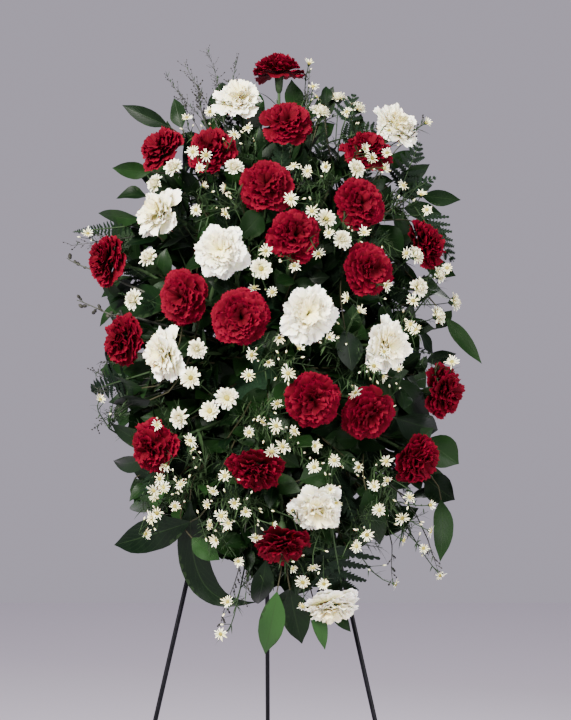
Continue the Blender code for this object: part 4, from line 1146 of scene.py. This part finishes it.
def makeFerns():
    bags = {node: newBag() for node in fernBranches}
    ends = {}
    for order, (node, (root, fork, fronds)) in enumerate(fernBranches.items()):
        rng = np.random.default_rng(600 + order)
        start = onPlane(root[0] * mm, foamUp + root[1] * mm, root[2] * mm)
        forkPlace = onDome(fork[:2], fork[2])
        ends[node] = forkPlace
        main = addStalk(bags[node], start, forkPlace, unit(forkPlace - start), (1.5, 1.3), 8, rng, slot=1)
        for basePixel, tipPixel, width, share in fronds:
            base, tip = onDome(basePixel, share), onDome(tipPixel, share)
            spacing = fernLook["spacing"][0] + fernLook["spacing"][1] * width
            addFrond(bags[node], base, tip, unit(view["eye"] - base), width * mm, rng, spacing)
            addStalk(bags[node], main[-2], base, unit(tip - base), (1.2, 1.0), 7, rng, slot=1)
    look = fernLook
    rng = np.random.default_rng(88)
    for i in range(look["fillers"]):
        out = mix((0.86, 0.05), (i + 0.5) / look["fillers"])
        ring = math.sqrt(1 - out * out)
        turn = i * goldenAngle + 1.1
        direction = np.array([ring * math.cos(turn), ring * math.sin(turn), out]) * dome["half"]
        base = onPlane(*(direction * look["shares"][0] + np.array([0, foamUp, 0])))
        tip = onPlane(*(direction * look["shares"][1] + np.array([0, foamUp, 0])))
        node = min(ends, key=lambda name: np.linalg.norm(ends[name] - base))
        normal = unit(domeFacing(tip, 0.3) + np.array([0, 0, 0.4]))
        shares = [t for t in (1.0, 0.85, 0.7, 0.55, 0.4)
                  if hasRoom(mix((base, tip), np.array([[t], [t * 0.8]])))]
        if not shares:
            continue
        tip = mix((base, tip), shares[0])
        addFrond(bags[node], base, tip, normal, 76 * mm, rng, look["fillSpacing"])
        addStalk(bags[node], onPlane(0, foamUp + direction[1] * 0.2, 0.05), base, unit(tip - base),
                 (1.3, 1.1), 6, rng, slot=1)
    for node, bag in bags.items():
        makePiece(bag, camelName(node), [fernLeaf, stemGreen], [node])


makeFerns()
print("ferns made")


# thin budded twigs: base and tip pixels, side twigs, their length, bud radius and stem thickness

twigLook = {
    "topTwigs": [
        ((214, 118), (184, 62), 16, 16, 0.9, 0.55), ((222, 112), (206, 48), 18, 15, 0.7, 0.45),
        ((228, 108), (238, 58), 14, 14, 0.8, 0.45), ((206, 124), (166, 74), 12, 14, 0.8, 0.5),
        ((204, 120), (196, 84), 12, 13, 1.3, 0.6), ((306, 108), (309, 68), 6, 9, 1.3, 0.9),
        ((208, 136), (198, 92), 16, 12, 1.1, 0.6), ((216, 130), (218, 76), 16, 13, 0.9, 0.5),
        ((198, 128), (180, 96), 14, 12, 1.0, 0.5), ((230, 118), (228, 80), 12, 11, 1.0, 0.5),
        ((396, 150), (424, 118), 9, 12, 1.4, 0.8),
    ],
    "leftTwigs": [
        ((126, 284), (67, 258), 9, 11, 2.4, 1.3), ((138, 318), (77, 300), 9, 13, 2.5, 1.4),
        ((134, 236), (70, 246), 14, 12, 1.0, 0.6), ((122, 242), (92, 232), 10, 14, 1.6, 0.6),
        ((136, 378), (98, 373), 13, 12, 0.8, 0.5), ((138, 386), (97, 390), 13, 12, 0.8, 0.5),
        ((138, 394), (103, 413), 13, 12, 0.8, 0.5), ((134, 368), (100, 361), 11, 12, 0.8, 0.5),
        ((130, 405), (98, 428), 10, 12, 1.1, 0.5), ((128, 395), (92, 372), 10, 13, 1.1, 0.5),
    ],
    "lowerTwigs": [
        ((240, 556), (220, 630), 10, 12, 1.4, 0.7), ((250, 560), (244, 604), 8, 11, 1.2, 0.6),
        ((392, 545), (394, 584), 5, 9, 1.4, 0.7), ((428, 540), (438, 572), 6, 9, 1.3, 0.7),
    ],
}
budProfile = [(0.25, -1.2), (0.8, -0.7), (1.0, 0.1), (0.75, 0.9), (0.1, 1.5)]


def addTwig(bag, basePixel, tipPixel, count, reach, bud, thick, rng):
    base = onDome(basePixel, 0.86)
    tip = onDome(tipPixel, 0.93)
    root = mix((onPlane(0, foamUp, 0.045), base), 0.3)
    addStalk(bag, root, base, unit(tip - base), (thick * 1.5, thick * 1.3), 7, rng, slot=2)
    line = addStalk(bag, base, tip, unit(unit(tip - base) + rng.normal(0, 0.25, 3)),
                    (thick * 1.2, thick * 0.5),
                    12, rng, slot=2)
    for i in range(count):
        position = (0.15 + 0.85 * (i + rng.uniform(0, 0.6)) / count) * 10.9
        j = int(position)
        place = mix((line[j], line[j + 1]), position - j)
        along = unit(line[j + 1] - line[j])
        heading = unit(along * 0.9 + turned(along, rng.uniform(0, math.tau))[:, 0] * rng.uniform(0.5, 1))
        end = place + heading * reach * rng.uniform(0.5, 1.1) * mm
        arrive = unit(heading + along * 0.6)
        side = addStalk(bag, place, end, arrive, (thick * 0.6, thick * 0.4), 5, rng, slot=2, sides=4)
        for spot in (side[4], side[2]):
            size = bud * rng.uniform(0.7, 1.2) * mm
            addTurned(bag, np.array(budProfile) * size, spot + arrive * size,
                      unit(arrive + rng.normal(0, 0.4, 3)),
                      6, slot=1, chance=rng.uniform(0, 1))
        for _ in range(int(rng.integers(0, 4)) if thick < 1 else 0):
            leafHeading = unit(along + rng.normal(0, 0.5, 3))
            narrowLeaf(bag, place, leafHeading, rng.uniform(5, 12) * mm, 0.7 * mm, 0.2, rng, 0)


def makeTwigs():
    for order, name in enumerate(("topTwigs", "leftTwigs", "lowerTwigs")):
        rng = np.random.default_rng(700 + order)
        bag = newBag()
        for twig in twigLook[name]:
            addTwig(bag, *twig, rng)
        makePiece(bag, name, [stemGrey, budGrey, twigGrey])


makeTwigs()
print("thin twigs made")


# the foam: a soft-edged block with a crumbly skin

def makeFoam():
    half = foam["size"] / 2
    middle = onPlane(0, foamUp, foam["out"] + half[2])
    frameAxes = np.stack([across, slope, outward])
    bag = newBag()
    for axis in range(3):
        first, second = [k for k in range(3) if k != axis]
        for way in (-1, 1):
            counts = [int(foam["size"][k] / (4 * mm)) for k in (first, second)]
            u = np.linspace(-half[first], half[first], counts[0])
            v = np.linspace(-half[second], half[second], counts[1])
            grid = np.zeros((counts[0], counts[1], 3))
            grid[..., first] = u[:, None]
            grid[..., second] = v[None, :]
            grid[..., axis] = way * half[axis]
            core = np.clip(grid, -(half - foam["round"]), half - foam["round"])
            away = grid - core
            away = away / np.maximum(np.linalg.norm(away, axis=-1, keepdims=True), 1e-9)
            rough = (np.sin(grid[..., 0] * 900) * np.sin(grid[..., 1] * 700 + 1)
                     * np.sin(grid[..., 2] * 800 + 2))
            sheet = core + away * (foam["round"] + foam["rough"] * (rough[..., None] - 1) * 0.5)
            tones = np.zeros((1, *sheet.shape[:2], 4)) + 0.5
            if way * (-1) ** axis < 0:
                sheet = sheet[::-1]
            addSheets(bag, (middle + sheet @ frameAxes)[None], tones, 0)
    makePiece(bag, "foamBlock", [foamGreen], ["foam_block"])


makeFoam()
print("foam made")

camera = bpy.data.objects.new("camera", bpy.data.cameras.new("camera"))
camera.data.lens = view["lens"]
camera.data.sensor_width = 36
camera.location = view["eye"]
camera.rotation_euler = (math.radians(90), 0, 0)
bpy.context.scene.collection.objects.link(camera)
bpy.context.scene.camera = camera

floor = bpy.data.objects.new("floor", bpy.data.meshes.new("floor"))
floorHalf = 6  # metres
corners = [(x * floorHalf, y * floorHalf, 0) for x, y in ((-1, -1), (1, -1), (1, 1), (-1, 1))]
floor.data.from_pydata(corners, [], [(0, 1, 2, 3)])
bpy.context.scene.collection.objects.link(floor)
floorPaint, _, floorShader = newMaterial("floorPaint", Roughness=0.7)
floorShader.inputs["Base Color"].default_value = (0.66, 0.62, 0.70, 1)
floor.data.materials.append(floorPaint)

lights = {
    "key": {"place": (-1.6, -2.6, 3.0), "size": 1.3, "power": 520, "colour": (1.0, 0.97, 0.91)},
    "fill": {"place": (2.2, -2.2, 1.8), "size": 2.0, "power": 150, "colour": (1.0, 0.98, 0.96)},
    "back": {"place": (0.8, 2.2, 2.6), "size": 1.6, "power": 60, "colour": (1.0, 1.0, 1.0)},
}
for name, look in lights.items():
    lamp = bpy.data.objects.new(name, bpy.data.lights.new(name, "AREA"))
    lamp.data.size = look["size"]
    lamp.data.energy = look["power"]
    lamp.data.color = look["colour"]
    lamp.location = look["place"]
    aim = np.array([0, -0.1, 1.15]) - np.array(look["place"])
    lamp.rotation_euler = (math.atan2(math.hypot(aim[0], aim[1]), -aim[2]), 0, math.atan2(-aim[0], aim[1]))
    bpy.context.scene.collection.objects.link(lamp)
world = bpy.data.worlds.new("studio")
world.use_nodes = True
world.node_tree.nodes["Background"].inputs["Color"].default_value = (0.775, 0.712, 0.85, 1)
world.node_tree.nodes["Background"].inputs["Strength"].default_value = 0.55
bpy.context.scene.world = world

for name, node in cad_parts.items():
    isWire = name.startswith(("front_leg", "rear_leg", "top_hook")) or name.endswith("cross_wire")
    if isWire or name == "foam_tray":
        for slot in node.material_slots:
            slot.material = wirePaint if isWire else trayGreen
